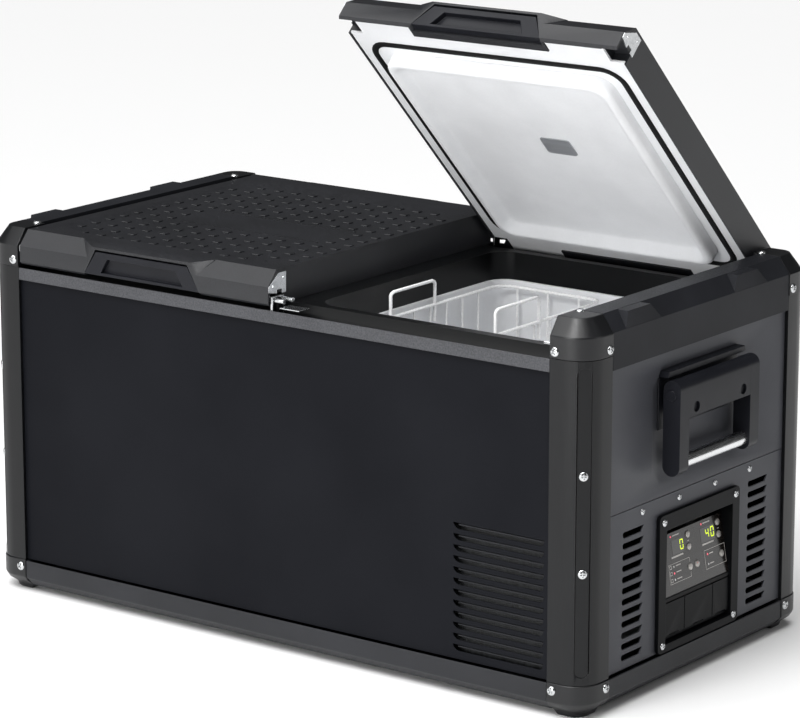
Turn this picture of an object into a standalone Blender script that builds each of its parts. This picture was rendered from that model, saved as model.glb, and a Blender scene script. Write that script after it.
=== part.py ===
"""Dual-zone compressor cooler with two lids that open from either long side.

Metres, +Z up, front towards -Y, controls on the right end (+X). The origin is on the floor, below the
middle of the whole object's box. The right lid stands open at its rest position.
"""
import math

import bmesh
import bpy
from mathutils import Matrix, Vector

# Driving dimensions of the cabinet
LENGTH = 0.870
DEPTH = 0.465
HALF_X = LENGTH / 2
HALF_Y = DEPTH / 2
GAP = 0.0003                # left between pieces that touch
FRAME_IN = 0.001            # rails and lids stand this far inside the corner caps
CORNER = 0.050              # leg of a corner post and of its caps
CORNER_RADIUS = 0.032
POST_WALL = 0.0043
PANEL_IN = 0.0057           # panels stand this far inside the corner caps

# Heights above the floor
PAN_BOTTOM = 0.0065
PAN_CHAMFER = 0.0118
PAN_TOP = 0.0395
PAN_SHEET = 0.002
PAN_FLOOR = PAN_BOTTOM + PAN_SHEET + 0.0003
PANEL_LOW = 0.0412          # lower edge of the panels, clear of the corner feet
PANEL_HIGH = 0.3905         # upper edge of the long panels, clear of the top frame
RAIL_BOTTOM = 0.390
RAIL_TOP = 0.4045
RIM_BOTTOM = 0.3748         # underside of the top frame, on the tubs' flanges
RIM_TOP = 0.4085
TROUGH = 0.3940             # trough along the long sides, where the hinged edge of a lid turns
CAP_BOTTOM = 0.4062
CAP_WAIST = 0.4311
CABINET_TOP = 0.4508
SERVICE_TOP = 0.2230

# Lids
LID_MID = 0.19225           # centre of a lid in X
LID_HALF_X = 0.18975
LID_BOTTOM = 0.4090
LID_EDGE = 0.4316
LID_TOP = 0.4495
PIN_Y = 0.212
PIN_Z = 0.4165
PIN_RADIUS = 0.0023
OPEN_ANGLE = math.radians(45)

# Tubs
TUB_X0, TUB_X1, TUB_Y = 0.030, 0.354, 0.178
TUB_FLOOR = 0.0545
TUB_WALL = 0.0025
STEP_X, STEP_Z = 0.200, 0.255

# Carry handle
HANDLE_PIN_X, HANDLE_PIN_Z = 0.4456, 0.343
HANDLE_FACE = 0.4575
HANDLE_BACK = 0.4351

# Control panel on the right end
OVERLAY_BOTTOM = Vector((0.4305, 0, 0.1030))
OVERLAY_TOP = Vector((0.4190, 0, 0.1710))
OVERLAY_HALF_Y = 0.0683
BUTTONS = {                 # y and distance up the overlay
    "button_left_plus": (-0.0053, 0.0600), "button_left_minus": (-0.0053, 0.0459),
    "button_right_plus": (0.0575, 0.0600), "button_right_minus": (0.0575, 0.0459),
    "button_battery": (-0.0075, 0.0230), "button_power": (0.0070, 0.0230),
    "button_eco_max": (0.0590, 0.0230),
}
BUTTON_RADIUS = 0.0041
PORTS = {"port_cover_dc": (-0.0683, -0.0258), "port_cover_ac": (-0.0250, 0.0333),
         "port_cover_usb": (0.0341, 0.0683)}
PORT_BOTTOM, PORT_TOP = 0.0572, 0.0965

# Latch handles, set in a raised block on each long edge of a lid
BLOCK_TOP = 0.4451
BLOCK_HALF = (0.0832, 0.0744)       # half widths at the lid's edge and at the block's top
FLAP_TOP = 0.4395
FLAP_LIFT = 0.002

# The open lid reaches behind the cabinet, so the middle of the object's box lies behind the cabinet's
LATCH_REACH = HALF_Y - FRAME_IN - PIN_Y
LID_OVERHANG = (PIN_Y + (LATCH_REACH + BLOCK_TOP - PIN_Z) * math.cos(OPEN_ANGLE)) - HALF_Y

for item in list(bpy.data.objects):
    bpy.data.objects.remove(item)

FINISHES = {                # colour, metallic, roughness
    "powder_coat": ((0.030, 0.031, 0.034), 0.0, 0.5),
    "black_aluminium": ((0.016, 0.016, 0.018), 0.0, 0.4),
    "black_plastic": ((0.012, 0.012, 0.013), 0.0, 0.45),
    "charcoal_plastic": ((0.022, 0.022, 0.024), 0.0, 0.5),
    "grey_panel": ((0.060, 0.061, 0.065), 0.0, 0.5),
    "white_liner": ((0.80, 0.80, 0.81), 0.0, 0.4),
    "rubber": ((0.01, 0.01, 0.01), 0.0, 0.8),
    "foam": ((0.75, 0.70, 0.50), 0.0, 0.9),
    "steel": ((0.60, 0.60, 0.60), 1.0, 0.3),
    "aluminium": ((0.70, 0.70, 0.72), 1.0, 0.35),
    "overlay": ((0.045, 0.038, 0.034), 0.0, 0.35),
    "silver": ((0.60, 0.60, 0.58), 0.8, 0.3),
    "white_wire": ((0.85, 0.85, 0.85), 0.0, 0.35),
}


def finish(name):
    """The material called name, made the first time it is asked for."""
    material = bpy.data.materials.get(name)
    if material is None:
        colour, metallic, roughness = FINISHES[name]
        material = bpy.data.materials.new(name)
        material.use_nodes = True
        shader = material.node_tree.nodes["Principled BSDF"]
        shader.inputs["Base Color"].default_value = (*colour, 1)
        shader.inputs["Metallic"].default_value = metallic
        shader.inputs["Roughness"].default_value = roughness
    return material


root = bpy.data.objects.new("cooler", None)
bpy.context.collection.objects.link(root)
root.location.y = -LID_OVERHANG / 2


def add(name, bm, slot, parent=root, origin=(0, 0, 0)):
    """Makes an object of a bmesh in the cabinet's coordinates. Its own origin may be on a joint's axis."""
    bmesh.ops.recalc_face_normals(bm, faces=bm.faces)
    mesh = bpy.data.meshes.new(name)
    bm.to_mesh(mesh)
    bm.free()
    mesh.materials.append(finish(slot))
    item = bpy.data.objects.new(name, mesh)
    bpy.context.collection.objects.link(item)
    item.parent = parent
    item.location = origin
    offset = Vector(origin)
    if parent is not root:
        offset += parent.location
    mesh.transform(Matrix.Translation(-offset))
    return item


def pivot(name, place, angle_x):
    """An empty on a lid's hinge pins, which carries the lid's pieces and turns them open."""
    empty = bpy.data.objects.new(name, None)
    bpy.context.collection.objects.link(empty)
    empty.parent = root
    empty.location = place
    empty.rotation_euler.x = angle_x
    return empty


def cutter(name, bm, target, operation="DIFFERENCE"):
    """Cuts a shape out of a piece, or joins it on, with a Boolean that stays on the piece."""
    guide = add(name, bm, "steel", target.parent)
    guide.hide_render = True
    guide.display_type = "WIRE"
    guide.hide_set(True)
    boolean = target.modifiers.new(name, "BOOLEAN")
    boolean.operation = operation
    boolean.solver = "EXACT"
    boolean.object = guide


def box(low, high, bm=None):
    """A box between two corners, on its own or added to a bmesh."""
    bm = bm or bmesh.new()
    low, high = Vector(low), Vector(high)
    size = Matrix.Diagonal((*(high - low), 1))
    bmesh.ops.create_cube(bm, size=1, matrix=Matrix.Translation((low + high) / 2) @ size)
    return bm


def prism(outline, axis, start, end, bm=None):
    """Extrudes an outline along an axis. Its points hold the other two coordinates, in X, Y, Z order."""
    bm = bm or bmesh.new()
    index = "xyz".index(axis)

    def place(point, along):
        values = list(point)
        values.insert(index, along)
        return Vector(values)

    face = bm.faces.new([bm.verts.new(place(point, start)) for point in outline])
    extruded = bmesh.ops.extrude_face_region(bm, geom=[face], use_keep_orig=True)
    moved = [part for part in extruded["geom"] if isinstance(part, bmesh.types.BMVert)]
    bmesh.ops.translate(bm, verts=moved, vec=place((0, 0), end - start))
    return bm


def rod(start, end, radius, segments=16, bm=None):
    """A round bar from start to end."""
    bm = bm or bmesh.new()
    start, end = Vector(start), Vector(end)
    turn = (end - start).to_track_quat("Z", "Y").to_matrix().to_4x4()
    bmesh.ops.create_cone(bm, cap_ends=True, segments=segments, radius1=radius, radius2=radius,
                          depth=(end - start).length,
                          matrix=Matrix.Translation((start + end) / 2) @ turn)
    return bm


def rounded(x0, y0, x1, y1, radius, steps=4):
    """A rectangle's outline with round corners."""
    centres = ((x1 - radius, y1 - radius, 0), (x0 + radius, y1 - radius, 90),
               (x0 + radius, y0 + radius, 180), (x1 - radius, y0 + radius, 270))
    points = []
    for cx, cy, first in centres:
        for step in range(steps + 1):
            angle = math.radians(first + 90 * step / steps)
            points.append((cx + radius * math.cos(angle), cy + radius * math.sin(angle)))
    return points


def mirrored(outline, sign):
    """The outline for the side of the given sign, from the one on the positive side."""
    return [(sign * a, b) for a, b in outline]


def ring(outer, inner, z0, z1, bm=None):
    """A flat ring between two outlines with the same number of points, from z0 to z1."""
    bm = bm or bmesh.new()
    loops = [[bm.verts.new((x, y, z)) for x, y in outline]
             for outline, z in ((outer, z0), (outer, z1), (inner, z1), (inner, z0))]
    count = len(outer)
    for first, second in zip(loops, loops[1:] + loops[:1]):
        for index in range(count):
            after = (index + 1) % count
            bm.faces.new((first[index], first[after], second[after], second[index]))
    return bm


# ---- base pan, with the bottom rails on its edges ----

def cross_outline(inset, corner):
    """The cabinet's outline without its four corner squares."""
    x, y = HALF_X - FRAME_IN - inset, HALF_Y - FRAME_IN - inset
    cx, cy = HALF_X - corner, HALF_Y - corner
    return [(x, -cy), (x, cy), (cx, cy), (cx, y), (-cx, y), (-cx, cy),
            (-x, cy), (-x, -cy), (-cx, -cy), (-cx, -y), (cx, -y), (cx, -cy)]


def base_pan():
    bm = bmesh.new()
    corner = CORNER + GAP
    sheet = PAN_SHEET
    loops = [(PAN_CHAMFER, PAN_BOTTOM, corner), (0, PAN_BOTTOM + PAN_CHAMFER, corner), (0, PAN_TOP, corner),
             (sheet, PAN_TOP, corner + sheet), (sheet, PAN_BOTTOM + PAN_CHAMFER + sheet, corner + sheet),
             (PAN_CHAMFER + sheet, PAN_BOTTOM + sheet, corner + sheet)]
    rings = [[bm.verts.new((x, y, z)) for x, y in cross_outline(inset, leg)] for inset, z, leg in loops]
    for first, second in zip(rings, rings[1:]):
        for index in range(12):
            after = (index + 1) % 12
            bm.faces.new((first[index], first[after], second[after], second[index]))
    bm.faces.new(rings[0])
    bm.faces.new(rings[-1])
    add("base_pan", bm, "powder_coat")


base_pan()


# ---- corner posts and caps ----

def corner_outline(x, y, inset=0.0, wall=None, leg=CORNER):
    """Outline of a corner, x and y its signs, as a quarter-round block or a bent sheet of given wall."""
    outer_x, outer_y = HALF_X - inset, HALF_Y - inset
    cx, cy = HALF_X - CORNER_RADIUS, HALF_Y - CORNER_RADIUS
    inner_x, inner_y = HALF_X - leg, HALF_Y - leg

    def arc(radius, backwards=False):
        steps = range(6, -1, -1) if backwards else range(7)
        return [(cx + radius * math.cos(step * math.pi / 12), cy + radius * math.sin(step * math.pi / 12))
                for step in steps]

    points = [(outer_x, inner_y), *arc(CORNER_RADIUS - inset), (inner_x, outer_y)]
    if wall:
        radius = CORNER_RADIUS - inset - wall
        points += [(inner_x, outer_y - wall), *arc(radius, True), (outer_x - wall, inner_y)]
    else:
        points.append((inner_x, inner_y))
    return [(px * x, py * y) for px, py in points]


def stacked(levels):
    """A closed body through outlines at rising heights, all with the same number of points."""
    bm = bmesh.new()
    rings = [[bm.verts.new((x, y, z)) for x, y in outline] for outline, z in levels]
    for first, second in zip(rings, rings[1:]):
        for index in range(len(first)):
            after = (index + 1) % len(first)
            bm.faces.new((first[index], first[after], second[after], second[index]))
    bm.faces.new(rings[0])
    bm.faces.new(rings[-1])
    return bm


SIDES = (("front_left", -1, -1), ("front_right", 1, -1), ("rear_left", -1, 1), ("rear_right", 1, 1))
for side, sx, sy in SIDES:
    post = corner_outline(sx, sy, FRAME_IN, POST_WALL)
    add(f"corner_post_{side}", stacked([(post, PAN_TOP + 0.0015), (post, CAP_BOTTOM - GAP)]),
        "black_aluminium")

    plain = corner_outline(sx, sy)
    cone = corner_outline(sx, sy, 0.0145)
    cap = add(f"top_cap_{side}",
              stacked([(plain, CAP_BOTTOM), (plain, CAP_WAIST), (cone, CABINET_TOP)]), "black_plastic")
    inner_side = sx * (HALF_X - CORNER)
    pin = rod((inner_side + sx * 0.004, sy * PIN_Y, PIN_Z), (inner_side - sx * 0.0195, sy * PIN_Y, PIN_Z),
              PIN_RADIUS, 12)
    cutter(f"end_pin_{side}", pin, cap, "UNION")

    foot = [(corner_outline(sx, sy, 0.016, leg=CORNER - 0.004), 0.0),
            (corner_outline(sx, sy, 0.014, leg=CORNER), 0.006),
            (corner_outline(sx, sy, 0.004), 0.013), (plain, 0.019), (plain, PAN_TOP + 0.0012)]
    add(f"bottom_cap_{side}", stacked(foot), "black_plastic")


# ---- top rails along the long sides and end rails with their raised blocks ----

RAIL_Y = HALF_Y - FRAME_IN
RAIL_LIP = 0.0025
for name, sign in (("top_rail_front", -1), ("top_rail_rear", 1)):
    panel_side = HALF_Y - PANEL_IN + GAP
    section = [(RAIL_Y, RAIL_BOTTOM), (RAIL_Y, RAIL_TOP), (RAIL_Y - RAIL_LIP, RAIL_TOP),
               (RAIL_Y - RAIL_LIP, RAIL_BOTTOM + 0.0045), (panel_side, RAIL_BOTTOM + 0.0045),
               (panel_side, RAIL_BOTTOM)]
    reach = HALF_X - CORNER - GAP
    add(name, prism(mirrored(section, sign), "x", -reach, reach), "black_aluminium")

END_INNER = 0.393
END_CHAMFER_X = 0.420
END_REACH = HALF_Y - CORNER - GAP
BLOCK_STEP = 0.222
for name, sign in (("end_rail_right", 1), ("end_rail_left", -1)):
    outer, panel_side = HALF_X - FRAME_IN, HALF_X - PANEL_IN + GAP
    section = [(outer, RAIL_BOTTOM - 0.001), (outer, CAP_WAIST), (END_CHAMFER_X, CABINET_TOP),
               (END_INNER, CABINET_TOP), (END_INNER, 0.411), (panel_side, 0.411),
               (panel_side, RAIL_BOTTOM - 0.001)]
    rail = add(name, prism(mirrored(section, sign), "y", -END_REACH, END_REACH), "charcoal_plastic")
    for index in range(2):
        shift = index * BLOCK_STEP
        block = [(-0.158 + shift, CAP_WAIST - 0.004), (-0.154 + shift, CABINET_TOP - 0.0004),
                 (-0.110 + shift, CABINET_TOP - 0.0004), (-0.082 + shift, CAP_WAIST - 0.004)]
        low, high = sorted((sign * 0.410, sign * (outer - 0.0002)))
        cutter(f"{name}_block_{index}", prism(block, "x", low, high), rail, "UNION")


# ---- panels ----

def louvres(half_or_range, z_top, count, pitch, axis, depth, height=0.0058, slant=0.004):
    """A comb of slot cutters, one below the other, each with one slanted end."""
    low, high = half_or_range
    bm = bmesh.new()
    for index in range(count):
        z = z_top - index * pitch
        outline = [(low, z - height / 2), (high - slant, z - height / 2), (high, z + height / 2),
                   (low + slant / 2, z + height / 2)]
        prism(outline, axis, *depth, bm)
    return bm


PANEL_Y = HALF_Y - PANEL_IN
PANEL_X = HALF_X - PANEL_IN
LOUVRE_TOP, LOUVRE_PITCH, LOUVRE_COUNT = 0.1965, 0.01285, 12
front = add("front_panel", box((-0.400, -PANEL_Y, PANEL_LOW), (0.400, -PANEL_Y + 0.0015, PANEL_HIGH)),
            "powder_coat")
cutter("front_vent", louvres((0.2545, 0.3770), LOUVRE_TOP, LOUVRE_COUNT, LOUVRE_PITCH, "y",
                             (-0.235, -0.220)), front)
add("rear_panel", box((-0.400, PANEL_Y - 0.0015, PANEL_LOW), (0.400, PANEL_Y, PANEL_HIGH)), "powder_coat")


def end_panel(name, sign, bottom):
    """An end panel with the sloping eight-sided recess of the carry handle."""
    low, high = sorted((sign * (PANEL_X - 0.006), sign * PANEL_X))
    panel = add(name, box((low, -0.197, bottom), (high, 0.197, 0.405)), "grey_panel")
    bm = bmesh.new()
    loops = []
    for inset, x in ((0.0058, PANEL_X - 0.0035), (0.0, PANEL_X), (0.0, PANEL_X + 0.002)):
        y, z0, z1, cut = 0.0955 - inset, 0.236 + inset, 0.370 - inset, 0.016
        eight = [(-y + cut, z0), (y - cut, z0), (y, z0 + cut), (y, z1 - cut),
                 (y - cut, z1), (-y + cut, z1), (-y, z1 - cut), (-y, z0 + cut)]
        loops.append([bm.verts.new((sign * x, a, b)) for a, b in eight])
    for first, second in zip(loops, loops[1:]):
        for index in range(8):
            after = (index + 1) % 8
            bm.faces.new((first[index], first[after], second[after], second[index]))
    bm.faces.new(loops[0])
    bm.faces.new(loops[-1])
    cutter(f"{name}_recess", bm, panel)


end_panel("end_panel_right", 1, SERVICE_TOP + 0.0005)
end_panel("end_panel_left", -1, PANEL_LOW)

cover = add("service_cover", box((PANEL_X - 0.002, -0.197, PANEL_LOW), (PANEL_X, 0.197, SERVICE_TOP)),
            "grey_panel")
for side, reach in (("front", (-0.1512, -0.1095)), ("rear", (0.1095, 0.1512))):
    cutter(f"end_vent_{side}", louvres(reach, LOUVRE_TOP, LOUVRE_COUNT, LOUVRE_PITCH, "x",
                                       (PANEL_X - 0.01, PANEL_X + 0.01)), cover)
cutter("control_cutout", box((PANEL_X - 0.01, -0.0800, 0.0455), (PANEL_X + 0.01, 0.0800, 0.1985)), cover)


# ---- top frame with its two openings ----

def top_frame():
    """Ridges around both openings, and a lower trough along each long side."""
    cx = HALF_X - CORNER - GAP
    lower = END_INNER - GAP
    ledge, edge = 0.1935, HALF_Y - PANEL_IN
    section = [(-edge, TROUGH - 0.003), (-edge, TROUGH), (-0.2010, TROUGH), (-ledge, RIM_TOP),
               (ledge, RIM_TOP), (0.2010, TROUGH), (edge, TROUGH), (edge, TROUGH - 0.003),
               (0.1985, TROUGH - 0.003), (0.1985, RIM_BOTTOM), (-0.1985, RIM_BOTTOM),
               (-0.1985, TROUGH - 0.003)]
    frame = add("top_frame", prism(section, "x", -cx, cx), "black_plastic")
    for sign in (-1, 1):
        low, high = sorted((sign * (cx - 0.004), sign * lower))
        cutter(f"frame_end_{sign}", box((low, -END_REACH, RIM_BOTTOM + 0.0004),
                                        (high, END_REACH, RIM_TOP - 0.0002)), frame, "UNION")
    for sign in (-1, 1):
        low, high = sorted((sign * 0.027, sign * 0.357))
        hole = prism(rounded(low, -0.181, high, 0.181, 0.025), "z", RIM_BOTTOM - 0.01, RIM_TOP + 0.01)
        cutter(f"opening_{sign}", hole, frame)
    for sign in (-1, 1):
        bracket = box((-0.0015, sign * PIN_Y - 0.0055, TROUGH - 0.002), (0.0015, sign * PIN_Y + 0.0055, 0.4205))
        cutter(f"pin_bracket_{sign}", bracket, frame, "UNION")
        pin = rod((-0.0185, sign * PIN_Y, PIN_Z), (0.0185, sign * PIN_Y, PIN_Z), PIN_RADIUS, 12)
        cutter(f"middle_pin_{sign}", pin, frame, "UNION")


top_frame()


# ---- tubs, foam ----

TUB_RADIUS = 0.020
FLANGE = 0.0108


def tub(name, sign):
    """An open liner with a flange. The right one steps up over the compressor bay."""
    low, high = sorted((sign * TUB_X0, sign * TUB_X1))
    floor = STEP_Z if sign > 0 else TUB_FLOOR
    outer = rounded(low - TUB_WALL, -TUB_Y - TUB_WALL, high + TUB_WALL, TUB_Y + TUB_WALL,
                    TUB_RADIUS + TUB_WALL)
    body = add(name, prism(outer, "z", floor - TUB_WALL, RIM_BOTTOM - 0.0015), "white_liner")
    flange = rounded(low - FLANGE, -TUB_Y - FLANGE, high + FLANGE, TUB_Y + FLANGE, TUB_RADIUS + FLANGE)
    cutter(f"{name}_flange", prism(flange, "z", RIM_BOTTOM - 0.0028, RIM_BOTTOM - GAP), body, "UNION")
    if sign > 0:
        deep = rounded(TUB_X0 - TUB_WALL, -TUB_Y - TUB_WALL, STEP_X + TUB_WALL, TUB_Y + TUB_WALL,
                       TUB_RADIUS + TUB_WALL)
        cutter(f"{name}_deep_wall", prism(deep, "z", TUB_FLOOR - TUB_WALL, STEP_Z), body, "UNION")
        cutter(f"{name}_deep", prism(rounded(TUB_X0, -TUB_Y, STEP_X, TUB_Y, TUB_RADIUS), "z",
                                     TUB_FLOOR, STEP_Z + 0.010), body)
    cutter(f"{name}_inside", prism(rounded(low, -TUB_Y, high, TUB_Y, TUB_RADIUS), "z", floor, 0.5), body)


tub("tub_left", -1)
tub("tub_right", 1)

BAY_X = 0.225               # the compressor bay starts here, right of the foam's deep part
FOAM_TOP = RIM_BOTTOM - 0.0032
foam_outline = [(-0.416, PANEL_LOW), (BAY_X, PANEL_LOW), (BAY_X, 0.2263), (0.416, 0.2263),
                (0.416, FOAM_TOP), (-0.416, FOAM_TOP)]
foam = add("foam_block", prism(foam_outline, "y", -0.196, 0.196), "foam")
for sign in (-1, 1):
    clear = TUB_WALL + 0.0006
    low, high = sorted((sign * TUB_X0, sign * TUB_X1))
    if sign > 0:
        deep = rounded(TUB_X0 - clear, -TUB_Y - clear, STEP_X + clear, TUB_Y + clear, TUB_RADIUS + clear)
        cutter("foam_deep", prism(deep, "z", TUB_FLOOR - clear, 0.5), foam)
        shallow = rounded(TUB_X0 - clear, -TUB_Y - clear, high + clear, TUB_Y + clear, TUB_RADIUS + clear)
        cutter("foam_shallow", prism(shallow, "z", STEP_Z - clear, 0.5), foam)
    else:
        hole = rounded(low - clear, -TUB_Y - clear, high + clear, TUB_Y + clear, TUB_RADIUS + clear)
        cutter("foam_left", prism(hole, "z", TUB_FLOOR - clear, 0.5), foam)


# ---- baskets ----

WIRE = 0.0028
BASKET_RIM = 0.3690
BASKET_FLOOR = 0.0580


def grid(first, last, count, bar):
    """The openings between count + 1 equal bars from first to last."""
    pitch = (last - first) / count
    return [(first + index * pitch + bar / 2, first + (index + 1) * pitch - bar / 2)
            for index in range(count)]


def basket(name, x0, x1, columns):
    """An open basket with a wire's thickness all round. Large windows stand for the gaps of its mesh, and a
    stiff upright wire handle stands on two sides."""
    y, wall, radius = 0.172, WIRE, 0.018
    outer = rounded(x0, -y, x1, y, radius, 2)
    inner = rounded(x0 + wall, -y + wall, x1 - wall, y - wall, radius - wall, 2)
    body = add(name, prism(outer, "z", BASKET_FLOOR, BASKET_RIM), "white_wire")
    cutter(f"{name}_inside", prism(inner, "z", BASKET_FLOOR + wall, BASKET_RIM + 0.01), body)

    z0, z1 = BASKET_FLOOR + 0.012, BASKET_RIM - 0.012
    long_sides, short_sides = bmesh.new(), bmesh.new()
    for y0, y1 in grid(-y + radius, y - radius, 3, 0.008):
        box((x0 - 0.01, y0, z0), (x1 + 0.01, y1, z1), long_sides)
    for a0, a1 in grid(x0 + radius, x1 - radius, columns, 0.008):
        box((a0, -y - 0.01, z0), (a1, y + 0.01, z1), short_sides)
    cutter(f"{name}_long_sides", long_sides, body)
    cutter(f"{name}_short_sides", short_sides, body)

    for index, x in enumerate((x0 + wall / 2, x1 - wall / 2)):
        middle, half, low, high = -0.008, 0.0435, BASKET_RIM - 0.0015, 0.4000
        loop = [(middle - half, low), (middle - half, high), (middle + half, high), (middle + half, low),
                (middle + half - wall, low), (middle + half - wall, high - wall),
                (middle - half + wall, high - wall), (middle - half + wall, low)]
        cutter(f"{name}_loop_{index}", prism(loop, "x", x - wall * 0.45, x + wall * 0.45), body, "UNION")


basket("basket_right", 0.034, 0.188, 1)
basket("basket_left", -0.350, -0.034, 3)


# ---- cooling unit in the bay ----

def compressor():
    bm = bmesh.new()
    turned = [(0.030, 0.0148), (0.052, 0.0230), (0.058, 0.040), (0.058, 0.125), (0.050, 0.150),
              (0.030, 0.164), (0.0, 0.168)]
    verts = [bm.verts.new((radius, 0, z)) for radius, z in [(0.0, 0.0148), *turned]]
    edges = [bm.edges.new(pair) for pair in zip(verts, verts[1:])]
    bmesh.ops.spin(bm, geom=verts + edges, cent=(0, 0, 0), axis=(0, 0, 1), angle=math.tau, steps=20,
                   use_merge=True)
    bmesh.ops.remove_doubles(bm, verts=bm.verts, dist=1e-5)
    bmesh.ops.translate(bm, verts=bm.verts, vec=(0.315, 0.095, 0))
    body = add("compressor", bm, "steel")
    cutter("compressor_feet", box((0.250, 0.035, PAN_FLOOR), (0.380, 0.155, 0.0170)), body, "UNION")


compressor()
add("condenser", box((0.240, -0.2140, PAN_TOP + GAP), (0.384, -0.1900, 0.2050)), "aluminium")
FAN_CENTRE = Vector((0.315, -0.172, 0.122))
shroud = add("fan_shroud", box((0.245, -0.1890, 0.050), (0.385, -0.1580, 0.194)), "black_plastic")
cutter("fan_duct", rod(FAN_CENTRE - Vector((0, 0.03, 0)), FAN_CENTRE + Vector((0, 0.03, 0)), 0.062, 32),
       shroud)
cutter("fan_strut", box((0.247, -0.1605, 0.1180), (0.383, -0.1580, 0.1260)), shroud, "UNION")
add("controller", box((0.250, -0.125, PAN_FLOOR), (0.380, 0.010, 0.062)), "aluminium")


def fan():
    """Five pitched blades on a hub that turns about Y."""
    hub = add("fan_rotor", rod(FAN_CENTRE - Vector((0, 0.009, 0)), FAN_CENTRE + Vector((0, 0.009, 0)),
                               0.020, 20), "black_plastic", origin=FAN_CENTRE)
    for index in range(5):
        blade = box((-0.012, -0.001, 0.014), (0.012, 0.001, 0.056))
        turn = Matrix.Rotation(math.tau * index / 5, 4, "Y") @ Matrix.Rotation(0.6, 4, "Z")
        blade.transform(Matrix.Translation(FAN_CENTRE) @ turn)
        cutter(f"fan_blade_{index}", blade, hub, "UNION")


fan()


# ---- control frame, overlay, buttons, sockets and their covers ----

APERTURE_Y, APERTURE_LOW = 0.0690, 0.0505
frame_back, frame_face = PANEL_X + GAP, 0.4345
bezel_outline = rounded(-0.0840, 0.0413, 0.0840, 0.2025, 0.006)
bezel = add("control_frame", prism(bezel_outline, "x", frame_back, frame_face), "black_plastic")
cutter("control_skirt", box((0.4100, -0.0797, 0.0458), (frame_back + 0.001, 0.0797, 0.1982)), bezel, "UNION")
aperture = [(0.440, 0.1866), (frame_face, 0.1838), (0.4150, 0.1735), (0.400, 0.1735),
            (0.400, APERTURE_LOW), (0.440, APERTURE_LOW)]
cutter("control_aperture", prism(aperture, "y", -APERTURE_Y, APERTURE_Y), bezel)

UP = (OVERLAY_TOP - OVERLAY_BOTTOM).normalized()
OUT = Vector((UP.z, 0, -UP.x))
OVERLAY_THICK = 0.003
back = -OVERLAY_THICK * OUT
section = [(point.x, point.z) for point in
           (OVERLAY_BOTTOM, OVERLAY_TOP, OVERLAY_TOP + back, OVERLAY_BOTTOM + back)]
overlay = add("control_overlay", prism(section, "y", -OVERLAY_HALF_Y, OVERLAY_HALF_Y), "overlay")
for name, (y, up) in BUTTONS.items():
    centre = OVERLAY_BOTTOM + UP * up + Vector((0, y, 0))
    cutter(f"{name}_hole", rod(centre - 0.006 * OUT, centre + 0.006 * OUT, BUTTON_RADIUS + 0.0004, 16),
           overlay)
    add(name, rod(centre - 0.0036 * OUT, centre + 0.0011 * OUT, BUTTON_RADIUS, 16), "silver", origin=centre)

sockets = add("socket_block", box((0.4020, -OVERLAY_HALF_Y, PORT_BOTTOM - 0.005),
                                  (0.4275, OVERLAY_HALF_Y, PORT_TOP + 0.0012)), "black_plastic")
cutter("socket_hinge_bar", box((0.4050, -OVERLAY_HALF_Y, PORT_TOP + 0.0013),
                               (0.4315, OVERLAY_HALF_Y, PORT_TOP + 0.0058)), sockets, "UNION")
cutter("socket_join", box((0.4050, -OVERLAY_HALF_Y + 0.001, PORT_TOP),
                          (0.4270, OVERLAY_HALF_Y - 0.001, PORT_TOP + 0.003)), sockets, "UNION")
cutter("dc_socket", rod((0.4100, -0.0470, 0.077), (0.4300, -0.0470, 0.077), 0.0105, 24), sockets)
cutter("ac_socket", box((0.4100, -0.0110, 0.0690), (0.4300, 0.0190, 0.0860)), sockets)
cutter("usb_socket", box((0.4100, 0.0430, 0.0730), (0.4300, 0.0570, 0.0800)), sockets)

for name, (y0, y1) in PORTS.items():
    lid = add(name, box((0.4285, y0, PORT_BOTTOM), (0.4315, y1, PORT_TOP)), "black_plastic",
              origin=(0.4300, (y0 + y1) / 2, PORT_TOP - 0.0015))
    middle = (y0 + y1) / 2
    cutter(f"{name}_notch", box((0.4297, middle - 0.010, PORT_BOTTOM - 0.001),
                                (0.4400, middle + 0.010, PORT_BOTTOM + 0.0014)), lid)


# ---- carry handles ----

ARM_Y0, ARM_Y1 = 0.0640, 0.0828
ARM_MID = (HANDLE_FACE + HANDLE_BACK) / 2
ARM_RADIUS = (HANDLE_FACE - HANDLE_BACK) / 2
HANDLE_TOP, HANDLE_LOW = 0.360, 0.251
HOOD_WALL = 0.004
WINDOW_TOP = 0.3166
GRIP_RADIUS = 0.0082


def arc(cx, cz, radius, first, last, steps):
    """Points of a circle between two angles in degrees."""
    angles = [math.radians(first + (last - first) * step / steps) for step in range(steps + 1)]
    return [(cx + radius * math.cos(angle), cz + radius * math.sin(angle)) for angle in angles]


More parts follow.
